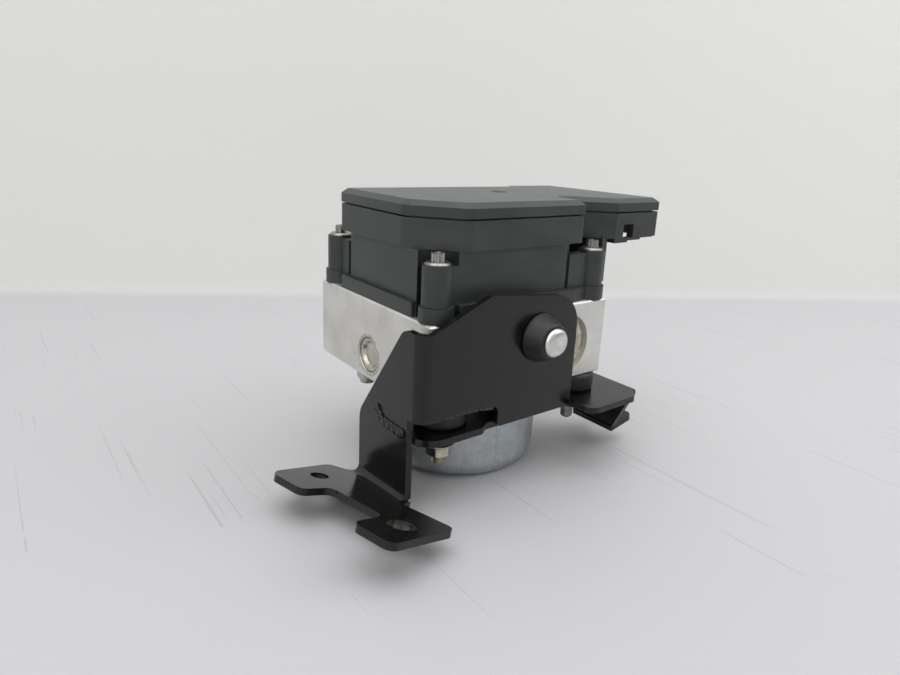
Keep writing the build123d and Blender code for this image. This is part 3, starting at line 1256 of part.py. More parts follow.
def make_post_pin(x, end):
    """Stud or plain pin from the block down through an isolator."""
    pin = rod_z(x, ISOLATOR_Y, end, BLOCK_BOTTOM + STUD_DEPTH, STUD_RADIUS)
    return chamfer(edges_at(pin, Axis.Z, end), PIN_TIP)


def make_flange_nut():
    top = CRADLE_BOTTOM - ISOLATOR_LOWER_HEIGHT
    bottom = top - NUT_TOTAL_HEIGHT
    place = Pos(ISOLATOR_LEFT_X, ISOLATOR_Y, bottom)
    hexagon = RegularPolygon(NUT_FLATS / 2, 6, major_radius=False)
    nut = place * extrude(hexagon, amount=NUT_TOTAL_HEIGHT, dir=(0, 0, 1))
    flange = rod_z(ISOLATOR_LEFT_X, ISOLATOR_Y, top - NUT_FLANGE_HEIGHT, top, NUT_FLANGE_RADIUS)
    nut += chamfer(edges_at(flange, Axis.Z, top - NUT_FLANGE_HEIGHT), NUT_FLANGE_CHAMFER)
    return nut - rod_z(ISOLATOR_LEFT_X, ISOLATOR_Y, 0, BLOCK_TOP, STUD_RADIUS)


def make_grommet():
    front = PLATE_OUTER - GROMMET_LENGTH
    cone = Pos(GROMMET_X, (PLATE_OUTER + front) / 2, GROMMET_Z) * Rot(90, 0, 0) * Cone(
        GROMMET_BASE_RADIUS, GROMMET_FRONT_RADIUS, GROMMET_LENGTH
    )
    neck = rod_y(GROMMET_X, PLATE_OUTER, PLATE_INNER, GROMMET_Z, GROMMET_NECK_RADIUS)
    back = rod_y(GROMMET_X, PLATE_INNER, BLOCK_FRONT, GROMMET_Z, GROMMET_BACK_RADIUS)
    bore = rod_y(GROMMET_X, front - CUT, BLOCK_FRONT + CUT, GROMMET_Z, GROMMET_PIN_RADIUS)
    return cone + neck + back - bore


def make_grommet_pin():
    front = PLATE_OUTER - GROMMET_LENGTH
    tip = front - GROMMET_HEAD_HEIGHT
    head = rod_y(GROMMET_X, tip, front, GROMMET_Z, GROMMET_HEAD_RADIUS)
    head = fillet(edges_at(head, Axis.Y, tip), GROMMET_HEAD_EDGE)
    end = BLOCK_FRONT + GROMMET_PIN_DEPTH
    return head + rod_y(GROMMET_X, front, end, GROMMET_Z, GROMMET_PIN_RADIUS)


def make_weld_beads():
    """Bead on the wing's outer face and a fillet weld under the cradle's left edge."""
    points = [
        (WING_OUTER, BEAD_FRONT_Y, BEAD_Z),
        (WING_OUTER, BEAD_TURN_Y, BEAD_Z),
        (WING_OUTER, BEAD_END_Y, BEAD_Z + BEAD_END_RISE),
    ]
    bead = Part()
    for point in points:
        bead += Pos(*point) * Sphere(BEAD_RADIUS)
    for start, end in zip(points, points[1:]):
        run = Vector(*end) - Vector(*start)
        plane = Plane(origin=Vector(*start) + run / 2, z_dir=run)
        bead += plane * Cylinder(BEAD_RADIUS, run.length)
    reach = 3 * BEAD_RADIUS
    keep = block_between(WING_OUTER - reach, WING_OUTER, BLOCK_FRONT, 0, 0, BLOCK_TOP)
    corners = [
        (WING_INNER, CRADLE_BOTTOM, 0),
        (WING_INNER, CRADLE_BOTTOM - FILLET_WELD, 0),
        (WING_INNER + FILLET_WELD, CRADLE_BOTTOM, 0),
    ]
    inner = prism_y(corners, BEAD_FRONT_Y, CRADLE_BACK)
    return [bead & keep, inner]


# ---------------------------------------------------------------- assembly
def make_parts():
    """Every node by name; a node that holds several like pieces is a group of solids."""
    sides = (-1, 1)
    names = ("left", "right")
    places = valve_places()
    parts = {
        "valve_block": make_valve_block(),
        "pump_plugs": group([make_pump_plug(side) for side in sides]),
        "accumulator_caps": group([make_accumulator_cap(side) for side in sides]),
        "motor_can": make_motor_can(),
        "motor_flange": make_motor_flange(),
        "motor_screws": group([make_motor_screw(x, y) for x, y in motor_screw_places()]),
        "motor_seal": make_motor_seal(),
        "motor_magnets": group([make_magnet(side) for side in sides]),
        "motor_lead": make_motor_lead(),
        "rear_bush": make_rear_bush(),
        "front_bearing": make_front_bearing(),
        "rotor_shaft": make_rotor_shaft(),
        "rotor_core": make_rotor_core(),
        "rotor_windings": make_rotor_windings(),
        "commutator": make_commutator(),
        "brush_holder": make_brush_holder(),
        "motor_brushes": group([make_brush(side) for side in sides]),
        "ecu_housing": make_ecu_housing(),
        "ecu_lid": make_ecu_lid(),
        "ecu_seal": make_seal_ring(),
        "circuit_board": make_circuit_board(),
        "connector_pins": group(connector_pin_solids()),
        "post_sleeves": group([make_sleeve(x, y) for x, y in POST_PLACES]),
        "housing_bolts": group([make_housing_bolt(x, y) for x, y in POST_PLACES]),
        "solenoid_coils": group([make_solenoid_coil(x, y) for x, y in places]),
        "inlet_valves": group([make_valve(x, y, True) for x, y in places[:VALVE_COLUMNS]]),
        "outlet_valves": group([make_valve(x, y, False) for x, y in places[VALVE_COLUMNS:]]),
        "mounting_bracket": make_mounting_bracket(),
        "cradle": make_cradle(),
        "weld_beads": group(make_weld_beads()),
        "weld_nut": make_weld_nut(),
        "rubber_isolators": group([make_isolator(x) for x in ISOLATOR_PLACES]),
        "isolator_stud": make_post_pin(ISOLATOR_LEFT_X, STUD_END),
        "locating_pin": make_post_pin(ISOLATOR_RIGHT_X, PIN_END),
        "flange_nut": make_flange_nut(),
        "plate_grommet": make_grommet(),
        "grommet_pin": make_grommet_pin(),
    }
    for side, name in zip(sides, names):
        parts[f"pump_piston_{name}"] = make_pump_piston(side)
        parts[f"piston_spring_{name}"] = make_piston_spring(side)
        parts[f"accumulator_piston_{name}"] = make_accumulator_piston(side)
        parts[f"accumulator_spring_{name}"] = make_accumulator_spring(side)
    for number, (x, y) in enumerate(places, start=1):
        parts[f"valve_armature_{number}"] = make_armature(x, y)
    return parts


def main():
    os.makedirs("parts", exist_ok=True)
    for name, shape in make_parts().items():
        export_step(shape, f"parts/{name}.step")


main()
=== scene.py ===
"""Anti-lock brake module: dressed pieces, finishes, studio and camera round the CAD frame."""

import json
import logging
import math
from contextlib import contextmanager
from dataclasses import dataclass
from enum import Enum
from typing import Iterator, Sequence

import bpy
from mathutils import Matrix, Vector

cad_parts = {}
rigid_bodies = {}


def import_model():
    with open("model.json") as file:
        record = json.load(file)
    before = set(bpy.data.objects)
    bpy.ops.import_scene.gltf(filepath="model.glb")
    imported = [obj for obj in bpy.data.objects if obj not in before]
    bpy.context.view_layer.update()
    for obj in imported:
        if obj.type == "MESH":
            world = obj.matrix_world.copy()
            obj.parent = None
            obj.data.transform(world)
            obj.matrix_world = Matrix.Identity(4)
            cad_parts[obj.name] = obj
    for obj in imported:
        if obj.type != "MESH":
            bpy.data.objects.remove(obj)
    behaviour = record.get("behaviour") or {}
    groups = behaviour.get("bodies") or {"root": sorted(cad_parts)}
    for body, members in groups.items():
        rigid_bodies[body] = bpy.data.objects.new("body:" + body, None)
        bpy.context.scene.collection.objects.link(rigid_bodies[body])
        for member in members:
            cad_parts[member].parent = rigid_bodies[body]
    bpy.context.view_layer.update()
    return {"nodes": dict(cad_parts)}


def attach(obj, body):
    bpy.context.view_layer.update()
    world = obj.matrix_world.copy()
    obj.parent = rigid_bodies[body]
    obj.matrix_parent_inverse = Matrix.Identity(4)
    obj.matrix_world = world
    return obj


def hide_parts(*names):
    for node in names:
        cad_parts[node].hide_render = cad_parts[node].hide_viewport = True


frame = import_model()

LOG = logging.getLogger("brake_module")
MM = 0.001
UNIT = "unit"
MERGE_DISTANCE = 1e-6
Point = tuple[float, float, float]
Piece = bpy.types.Object
Finish = bpy.types.Material
Profile = Sequence[tuple[float, float]]


class Axis(Enum):
    """Direction of a turned piece's axis."""

    X = (1.0, 0.0, 0.0)
    Y = (0.0, 1.0, 0.0)
    Z = (0.0, 0.0, 1.0)


class Slot(Enum):
    """Material slots of the record."""

    BLOCK = "block_aluminium"
    HOUSING = "housing_plastic"
    LID = "lid_plastic"
    GALVANISED = "galvanised_steel"
    PAINT = "bracket_paint"
    ZINC = "zinc_steel"
    STEEL = "plain_steel"
    RUBBER = "isolator_rubber"


# ---- modelling helpers
def deselect_all() -> None:
    """Leaves object mode with nothing selected."""
    for item in bpy.context.view_layer.objects:
        item.select_set(False)


def focus(piece: Piece) -> None:
    """Makes one piece the only selected and the active one."""
    deselect_all()
    piece.select_set(True)
    bpy.context.view_layer.objects.active = piece


@contextmanager
def editing(piece: Piece, mode: str = "VERT") -> Iterator[None]:
    """Edit mode on one piece with nothing selected.

    Args:
        piece: The piece to edit.
        mode: Select mode, VERT, EDGE or FACE.
    """
    focus(piece)
    bpy.ops.object.mode_set(mode="EDIT")
    bpy.ops.mesh.select_mode(type=mode)
    bpy.ops.mesh.select_all(action="DESELECT")
    yield
    bpy.ops.object.mode_set(mode="OBJECT")


def modify(piece: Piece, kind: str, **settings: object) -> None:
    """Adds a modifier with its settings and applies it.

    Args:
        piece: The piece to change.
        kind: Modifier type.
        settings: Modifier properties.
    """
    focus(piece)
    modifier = piece.modifiers.new(kind.title(), kind)
    for key, value in settings.items():
        setattr(modifier, key, value)
    bpy.ops.object.modifier_apply(modifier=modifier.name)


def soften(piece: Piece, width: float, angle: float = 32.0, segments: int = 2) -> None:
    """Rounds a piece's sharp edges and smooths the rest.

    Args:
        piece: The piece to round.
        width: Width of the rounding in millimetres.
        angle: Edges sharper than this many degrees are rounded.
        segments: Steps across the rounding.
    """
    modify(
        piece, "BEVEL", width=width * MM, segments=segments, limit_method="ANGLE",
        angle_limit=math.radians(angle),
    )
    smooth(piece, angle)


def smooth(piece: Piece, angle: float = 32.0) -> None:
    """Shades a piece smooth below an angle in degrees and keeps its large flat faces flat."""
    focus(piece)
    bpy.ops.object.shade_smooth_by_angle(angle=math.radians(angle))
    modify(piece, "WEIGHTED_NORMAL", keep_sharp=True)


def close_seams(piece: Piece) -> None:
    """Merges doubles and turns every face outwards."""
    with editing(piece):
        bpy.ops.mesh.select_all(action="SELECT")
        bpy.ops.mesh.remove_doubles(threshold=MERGE_DISTANCE)
        bpy.ops.mesh.normals_make_consistent(inside=False)


def settle(piece: Piece) -> None:
    """Puts a piece's place into its mesh, with its object at the origin."""
    focus(piece)
    bpy.ops.object.transform_apply(location=True, rotation=True, scale=True)


def outline_of(name: str, points: Sequence[Vector]) -> Piece:
    """A chain of edges, grown from one vertex by extrusion.

    Args:
        name: Name of the new piece.
        points: The chain's points in metres.

    Returns:
        The new piece, a bare chain.
    """
    deselect_all()
    bpy.ops.mesh.primitive_plane_add(size=MM, location=points[0])
    piece = bpy.context.object
    piece.name = name
    settle(piece)
    with editing(piece):
        bpy.ops.mesh.select_all(action="SELECT")
        bpy.ops.mesh.merge(type="CENTER")
        for before, after in zip(points, points[1:]):
            step = {"value": tuple(after - before)}
            bpy.ops.mesh.extrude_region_move(TRANSFORM_OT_translate=step)
    return piece


def turned(
    name: str, profile: Profile, centre: Point, axis: Axis, steps: int = 64, closed: bool = False
) -> Piece:
    """A turned piece: a profile spun round an axis.

    Args:
        name: Name of the new piece.
        profile: (radius, place along the axis) points in millimetres.
        centre: A point on the axis in millimetres; the place along the axis is added to it.
        axis: Direction of the axis.
        steps: Steps round the axis.
        closed: The profile is a ring section that returns to its first point.

    Returns:
        The new piece.
    """
    along = Vector(axis.value)
    across = Vector((0.0, 1.0, 0.0)) if axis is Axis.X else Vector((1.0, 0.0, 0.0))
    middle = Vector(centre) * MM
    chain = [middle + across * radius * MM + along * place * MM for radius, place in profile]
    if closed:
        chain.append(chain[0])
    piece = outline_of(name, chain)
    with editing(piece):
        bpy.ops.mesh.select_all(action="SELECT")
        bpy.ops.mesh.spin(steps=steps, angle=math.tau, center=middle, axis=along)
    close_seams(piece)
    return piece


def thread(
    name: str, root: float, crest: float, pitch: float, bottom: float, top: float, place: Point
) -> Piece:
    """An external screw thread with flat ends, standing along Z.

    Args:
        name: Name of the new piece.
        root: Root radius in millimetres.
        crest: Crest radius in millimetres.
        pitch: Rise of one turn in millimetres.
        bottom: Lower end in millimetres.
        top: Upper end in millimetres.
        place: Point on the axis in millimetres.

    Returns:
        The new piece.
    """
    tooth = [(root, 0.0), (crest, 0.42 * pitch), (crest, 0.58 * pitch), (root, pitch)]
    chain = [Vector((radius, 0.0, bottom - pitch + height)) * MM for radius, height in tooth]
    piece = outline_of(name, chain)
    modify(
        piece, "SCREW", screw_offset=pitch * MM,
        iterations=math.ceil((top - bottom) / pitch) + 2, steps=28, render_steps=28,
        use_merge_vertices=True, merge_threshold=MERGE_DISTANCE,
    )
    with editing(piece):
        for height, outer in ((bottom, False), (top, True)):
            bpy.ops.mesh.select_all(action="SELECT")
            bpy.ops.mesh.bisect(
                plane_co=(0.0, 0.0, height * MM), plane_no=(0.0, 0.0, 1.0), use_fill=True,
                clear_inner=not outer, clear_outer=outer,
            )
        bpy.ops.mesh.select_all(action="SELECT")
        bpy.ops.transform.translate(value=Vector(place) * MM)
    close_seams(piece)
    smooth(piece, 25.0)
    return piece


def reshaped(node: str, name: str, edge: float, angle: float = 32.0) -> Piece:
    """A CAD node's solid as clean faces with rounded edges, standing in for the node.

    Args:
        node: The CAD node.
        name: Name of the new piece.
        edge: Width of the edge rounding in millimetres.
        angle: Edges sharper than this many degrees are rounded.

    Returns:
        The new piece.
    """
    piece = bpy.data.objects.new(name, frame["nodes"][node].data.copy())
    bpy.context.scene.collection.objects.link(piece)
    piece.data.materials.clear()
    with editing(piece):
        bpy.ops.mesh.select_all(action="SELECT")
        bpy.ops.mesh.remove_doubles(threshold=MERGE_DISTANCE)
        bpy.ops.mesh.dissolve_limited(angle_limit=math.radians(0.5))
    focus(piece)
    if piece.data.has_custom_normals:
        bpy.ops.mesh.customdata_custom_splitnormals_clear()
    if edge > 0:
        soften(piece, edge, angle)
    else:
        smooth(piece, angle)
    return piece


def cut_with(piece: Piece, tool: Piece, keep: bool = False) -> None:
    """Subtracts a tool from a piece, or keeps only what they share, and removes the tool.

    Args:
        piece: The piece to cut.
        tool: The cutting shape.
        keep: Keep what lies inside the tool.
    """
    operation = "INTERSECT" if keep else "DIFFERENCE"
    modify(piece, "BOOLEAN", object=tool, operation=operation, solver="EXACT")
    bpy.data.objects.remove(tool)


def copied(piece: Piece, name: str, shift: Point) -> Piece:
    """A copy with its own mesh, moved by a shift in millimetres.

    Args:
        piece: The piece to copy.
        name: Name of the copy.
        shift: Shift in millimetres.

    Returns:
        The copy.
    """
    twin = piece.copy()
    twin.data = piece.data.copy()
    twin.name = name
    bpy.context.scene.collection.objects.link(twin)
    twin.location = Vector(shift) * MM
    settle(twin)
    return twin


def joined(pieces: Sequence[Piece], name: str) -> Piece:
    """Several shells as one piece.

    Args:
        pieces: The shells, the first of which takes the others in.
        name: Name of the piece.

    Returns:
        The piece.
    """
    focus(pieces[0])
    for other in pieces[1:]:
        other.select_set(True)
    bpy.ops.object.join()
    pieces[0].name = name
    return pieces[0]


def dress(
    piece: Piece, finish: Finish, slot: Slot, *nodes: str
) -> Piece:
    """Gives a piece its finish and body, and hides the CAD nodes it stands for.

    Args:
        piece: The finished piece.
        finish: Its material.
        slot: Its slot in the record; not used.
        nodes: CAD nodes that it replaces.

    Returns:
        The piece.
    """
    piece.data.materials.clear()
    piece.data.materials.append(finish)
    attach(piece, UNIT)
    if nodes:
        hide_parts(*nodes)
    LOG.info("%s: %d faces", piece.name, len(piece.data.polygons))
    return piece


# ---- material helpers
def linear(colour: str) -> tuple[float, float, float, float]:
    """Linear colour of an sRGB hex value."""
    parts = [int(colour[i : i + 2], 16) / 255 for i in (1, 3, 5)]
    return (*[v / 12.92 if v <= 0.04045 else ((v + 0.055) / 1.055) ** 2.4 for v in parts], 1.0)


def add(tree: bpy.types.NodeTree, kind: str, inputs: dict | None = None, **settings: object):
    """Adds a node with its settings, and sets or links its inputs.

    Args:
        tree: The node tree.
        kind: Node type.
        inputs: Socket name or number to a value, or to an output socket that it is linked to.
        settings: Node properties.

    Returns:
        The node.
    """
    node = tree.nodes.new(kind)
    for key, value in settings.items():
        setattr(node, key, value)
    for key, value in (inputs or {}).items():
        if isinstance(value, bpy.types.NodeSocket):
            tree.links.new(value, node.inputs[key])
        else:
            node.inputs[key].default_value = value
    return node


def ramp(tree: bpy.types.NodeTree, factor: bpy.types.NodeSocket, stops: Sequence) -> object:
    """Colour ramp output.

    Args:
        tree: The node tree.
        factor: Socket that drives the ramp.
        stops: (position, sRGB hex or grey value) pairs.

    Returns:
        The ramp's colour socket.
    """
    node = add(tree, "ShaderNodeValToRGB", {"Fac": factor})
    elements = node.color_ramp.elements
    while len(elements) < len(stops):
        elements.new(0.5)
    for element, (position, value) in zip(elements, stops):
        element.position = position
        element.color = linear(value) if isinstance(value, str) else (value, value, value, 1.0)
    return node.outputs["Color"]


class Surface:
    """A material under construction: object coordinates, one shader and its output."""

    def __init__(self, name: str) -> None:
        """Starts a material with a Principled shader."""
        self.material = bpy.data.materials.new(name)
        self.material.use_nodes = True
        self.tree = self.material.node_tree
        self.tree.nodes.clear()
        self.shader = add(self.tree, "ShaderNodeBsdfPrincipled")
        shader_out = {"Surface": self.shader.outputs[0]}
        add(self.tree, "ShaderNodeOutputMaterial", shader_out)
        self.place = add(self.tree, "ShaderNodeTexCoord").outputs["Object"]

    def mapped(
        self, scale: Point = (1, 1, 1), shift: Point = (0, 0, 0), turn: float = 0.0
    ) -> object:
        """Object coordinates scaled by axis, turned about Z and moved.

        Args:
            scale: Scale of each axis.
            shift: Move in metres, after the scaling.
            turn: Turn about Z in degrees.

        Returns:
            The mapped vector socket.
        """
        inputs = {"Vector": self.place, "Scale": scale, "Location": shift}
        inputs["Rotation"] = (0.0, 0.0, math.radians(turn))
        return add(self.tree, "ShaderNodeMapping", inputs).outputs[0]

    def noise(self, grain: float, detail: float = 3.0, vector: object = None) -> object:
        """Noise whose blotches are grain millimetres wide.

        Args:
            grain: Width of a blotch in millimetres.
            detail: Levels of finer noise.
            vector: Vector socket, or None for object coordinates.

        Returns:
            The noise value socket.
        """
        inputs = {"Vector": vector or self.place, "Scale": 1 / (grain * MM), "Detail": detail}
        return add(self.tree, "ShaderNodeTexNoise", inputs).outputs["Fac"]

    def math(self, operation: str, *values: object) -> object:
        """Result socket of a Math node on the values."""
        inputs = dict(enumerate(values))
        return add(self.tree, "ShaderNodeMath", inputs, operation=operation).outputs[0]

    def mix(self, factor: object, first: object, second: object) -> object:
        """Colour socket of a mix of two colours (sockets or sRGB hex)."""
        node = add(self.tree, "ShaderNodeMix", {"Factor": factor}, data_type="RGBA")
        for socket, value in ((node.inputs[6], first), (node.inputs[7], second)):
            if isinstance(value, str):
                socket.default_value = linear(value)
            else:
                self.tree.links.new(value, socket)
        return node.outputs[2]

    def bump(self, height: object, depth: float, normal: object = None) -> object:
        """Normal socket of a bump, depth in millimetres.

        Args:
            height: Height socket.
            depth: Height of the pattern in millimetres.
            normal: Normal socket of a coarser bump.

        Returns:
            The normal socket.
        """
        inputs = {"Height": height, "Distance": depth * MM}
        if normal is not None:
            inputs["Normal"] = normal
        return add(self.tree, "ShaderNodeBump", inputs).outputs[0]

    def finish(self, **inputs: object) -> Finish:
        """Sets the shader's sockets and returns the material.

        Args:
            inputs: Socket names with _ for a space, each a value, an sRGB hex or a socket.

        Returns:
            The material.
        """
        for key, value in inputs.items():
            socket = self.shader.inputs[key.replace("_", " ")]
            if isinstance(value, bpy.types.NodeSocket):
                self.tree.links.new(value, socket)
            else:
                socket.default_value = linear(value) if isinstance(value, str) else value
        return self.material


# ---- finishes
@dataclass(frozen=True)
class MilledAluminium:
    """Extruded aluminium alloy, face-milled and clear anodised: pale grey, faint tool marks."""

    pale: str = "#e3e2de"
    dull: str = "#d0cfca"
    stain: str = "#86847f"
    cutter_step: float = 0.5   # spacing of the milling marks, drawn coarser than the real 0.2 mm
    cloud: float = 14.0
    smudge: float = 3.0
    roughness: float = 0.46

    def material(self) -> Finish:
        """Builds the material."""
        s = Surface("milled_aluminium")
        stretched = s.mapped((0.06, 0.06, 1.0))
        marks = s.noise(self.cutter_step, 2.0, stretched)
        clouds = s.noise(self.cloud)
        base = ramp(s.tree, clouds, [(0.3, self.dull), (0.7, self.pale)])
        spots = ramp(s.tree, s.noise(self.smudge, 4.0), [(0.66, 0.0), (0.78, 0.55)])
        colour = s.mix(spots, base, self.stain)
        rough = s.math("MULTIPLY_ADD", marks, 0.16, self.roughness - 0.08)
        return s.finish(
            Base_Color=colour, Metallic=0.82, Roughness=rough, Normal=s.bump(marks, 0.012),
        )


@dataclass(frozen=True)
class GlassFilledMoulding:
    """Glass-filled polybutylene moulding: near-black, satin, with a fine fibre grain."""

    name: str
    dark: str
    light: str
    grain: float = 0.35        # fibre grain, as coarse as it needs to show
    flow: float = 22.0         # streaks where the melt flowed
    roughness: float = 0.42

    def material(self) -> Finish:
        """Builds the material."""
        s = Surface(self.name)
        flow = s.noise(self.flow, 4.0, s.mapped((1.0, 0.45, 2.2)))
        colour = ramp(s.tree, flow, [(0.3, self.dark), (0.72, self.light)])
        fibres = s.noise(self.grain, 2.0)
        rough = s.math("MULTIPLY_ADD", flow, 0.14, self.roughness - 0.07)
        coarse = s.bump(s.noise(2.4, 2.0), 0.01)
        return s.finish(
            Base_Color=colour, Roughness=rough, IOR=1.53, Normal=s.bump(fibres, 0.012, coarse),
        )


@dataclass(frozen=True)
class Electrocoat:
    """Black electrocoat on pressed steel: thin glossy paint, slight peel, chips at the notch."""

    dark: str = "#0c0c0b"
    light: str = "#131312"
    rust: str = "#4a433b"
    peel: float = 1.6
    dust: float = 9.0
    roughness: float = 0.2
    chip_size: float = 1.1
    chip_height: float = 45.2   # chips sit along the notch of the plate's lower edge
    chip_reach: float = 1.0
    chip_front: float = -49.0
    chip_span: tuple[float, float] = (-50.0, -20.0)

    def material(self) -> Finish:
        """Builds the material."""
        s = Surface("black_electrocoat")
        clouds = s.noise(self.dust, 5.0)
        paint = ramp(s.tree, clouds, [(0.35, self.dark), (0.7, self.light)])
        split = add(s.tree, "ShaderNodeSeparateXYZ", {"Vector": s.place}).outputs
        height = s.math("ABSOLUTE", s.math("SUBTRACT", split["Z"], self.chip_height * MM))
        near_edge = s.math("LESS_THAN", height, self.chip_reach * MM)
        in_front = s.math("LESS_THAN", split["Y"], self.chip_front * MM)
        low, high = self.chip_span
        middle = s.math("SUBTRACT", split["X"], (low + high) / 2 * MM)
        inside = s.math("LESS_THAN", s.math("ABSOLUTE", middle), (high - low) / 2 * MM)
        ragged = s.math("GREATER_THAN", s.noise(self.chip_size, 3.0), 0.57)
        place = s.math("MULTIPLY", s.math("MULTIPLY", near_edge, in_front), inside)
        chips = s.math("MULTIPLY", place, ragged)
        rough = s.math("MULTIPLY_ADD", clouds, 0.14, self.roughness - 0.07)
        peel = s.noise(self.peel, 2.0)
        return s.finish(
            Base_Color=s.mix(chips, paint, self.rust), Roughness=rough, IOR=1.45,
            Normal=s.bump(peel, 0.012),
        )


@dataclass(frozen=True)
class Galvanised:
    """Deep-drawn steel with a zinc coat: soft grey spangle with faint upright streaks."""

    dark: str = "#9fa6a8"
    light: str = "#c3c9cb"
    spangle: float = 2.6
    warp: float = 1.6
    scuff: float = 1.0
    roughness: float = 0.44

    def material(self) -> Finish:
        """Builds the material."""
        s = Surface("galvanised_steel")
        drift = {0: s.noise(2.6, 3.0), 1: (self.warp * MM,) * 3, 2: s.place}
        shifted = add(s.tree, "ShaderNodeVectorMath", drift, operation="MULTIPLY_ADD").outputs[0]
        inputs = {"Vector": shifted, "Scale": 1 / (self.spangle * MM)}
        cells = add(s.tree, "ShaderNodeTexVoronoi", inputs).outputs["Color"]
        grey = add(s.tree, "ShaderNodeRGBToBW", {"Color": cells}).outputs[0]
        streaks = s.noise(1.6, 3.0, s.mapped((1.0, 1.0, 0.06)))
        soft = s.math("MULTIPLY_ADD", streaks, 0.35, s.math("MULTIPLY", s.noise(7.0), 0.4))
        blend = s.math("MULTIPLY_ADD", grey, 0.25, soft)
        colour = ramp(s.tree, blend, [(0.25, self.dark), (0.75, self.light)])
        rough = s.math("MULTIPLY_ADD", blend, 0.22, self.roughness - 0.11)
        scuffs = s.noise(self.scuff, 4.0, s.mapped((1.0, 1.0, 0.3)))
        return s.finish(
            Base_Color=colour, Metallic=0.85, Roughness=rough, Normal=s.bump(scuffs, 0.015),
        )


@dataclass(frozen=True)
class TurnedMetal:
    """Turned or stamped metal, bare or zinc plated: rings about its axis, soft bright sheen."""

    name: str
    bright: str
    dull: str
    axis: Axis
    centre: Point
    ring: float = 0.45         # spacing of the turning marks
    roughness: float = 0.3
    depth: float = 0.006

    def material(self) -> Finish:
        """Builds the material."""
        s = Surface(self.name)
        shift = tuple(-value * MM for value in self.centre)
        place = s.mapped(shift=shift)
        inputs = {"Vector": place, "Scale": math.tau / 20 / (self.ring * MM)}
        inputs |= {"Distortion": 0.6, "Detail": 1.0}
        rings = add(
            s.tree, "ShaderNodeTexWave", inputs, wave_type="RINGS",
            rings_direction=self.axis.name,
        ).outputs["Fac"]
        clouds = s.noise(4.5, 4.0)
        colour = ramp(s.tree, clouds, [(0.32, self.dull), (0.68, self.bright)])
        rough = s.math("MULTIPLY_ADD", clouds, 0.2, self.roughness - 0.1)
        return s.finish(
            Base_Color=colour, Metallic=0.95, Roughness=rough, Normal=s.bump(rings, self.depth),
        )


@dataclass(frozen=True)
class MouldedRubber:
    """Compression-moulded rubber: black, with a bloom that dulls it in patches."""

    name: str
    dark: str = "#111110"
    bloom: str = "#242422"
    roughness: float = 0.5

    def material(self) -> Finish:
        """Builds the material."""
        s = Surface(self.name)
        patches = s.noise(5.0, 5.0)
        colour = ramp(s.tree, patches, [(0.35, self.dark), (0.72, self.bloom)])
        rough = s.math("MULTIPLY_ADD", patches, 0.3, self.roughness - 0.15)
        return s.finish(
            Base_Color=colour, Roughness=rough, IOR=1.52,
            Normal=s.bump(s.noise(0.6, 3.0), 0.01),
        )


@dataclass(frozen=True)
class InnerFinish:
    """Plain finish of a piece inside the unit, with the real one's tone and grain."""

    name: str
    dark: str
    light: str
    metallic: float
    roughness: float
    grain: float = 1.2

    def material(self) -> Finish:
        """Builds the material."""
        s = Surface(self.name)
        grain = s.noise(self.grain, 4.0)
        colour = ramp(s.tree, grain, [(0.3, self.dark), (0.7, self.light)])
        rough = s.math("MULTIPLY_ADD", grain, 0.16, self.roughness - 0.08)
        return s.finish(
            Base_Color=colour, Metallic=self.metallic, Roughness=rough,
            Normal=s.bump(grain, 0.01),
        )


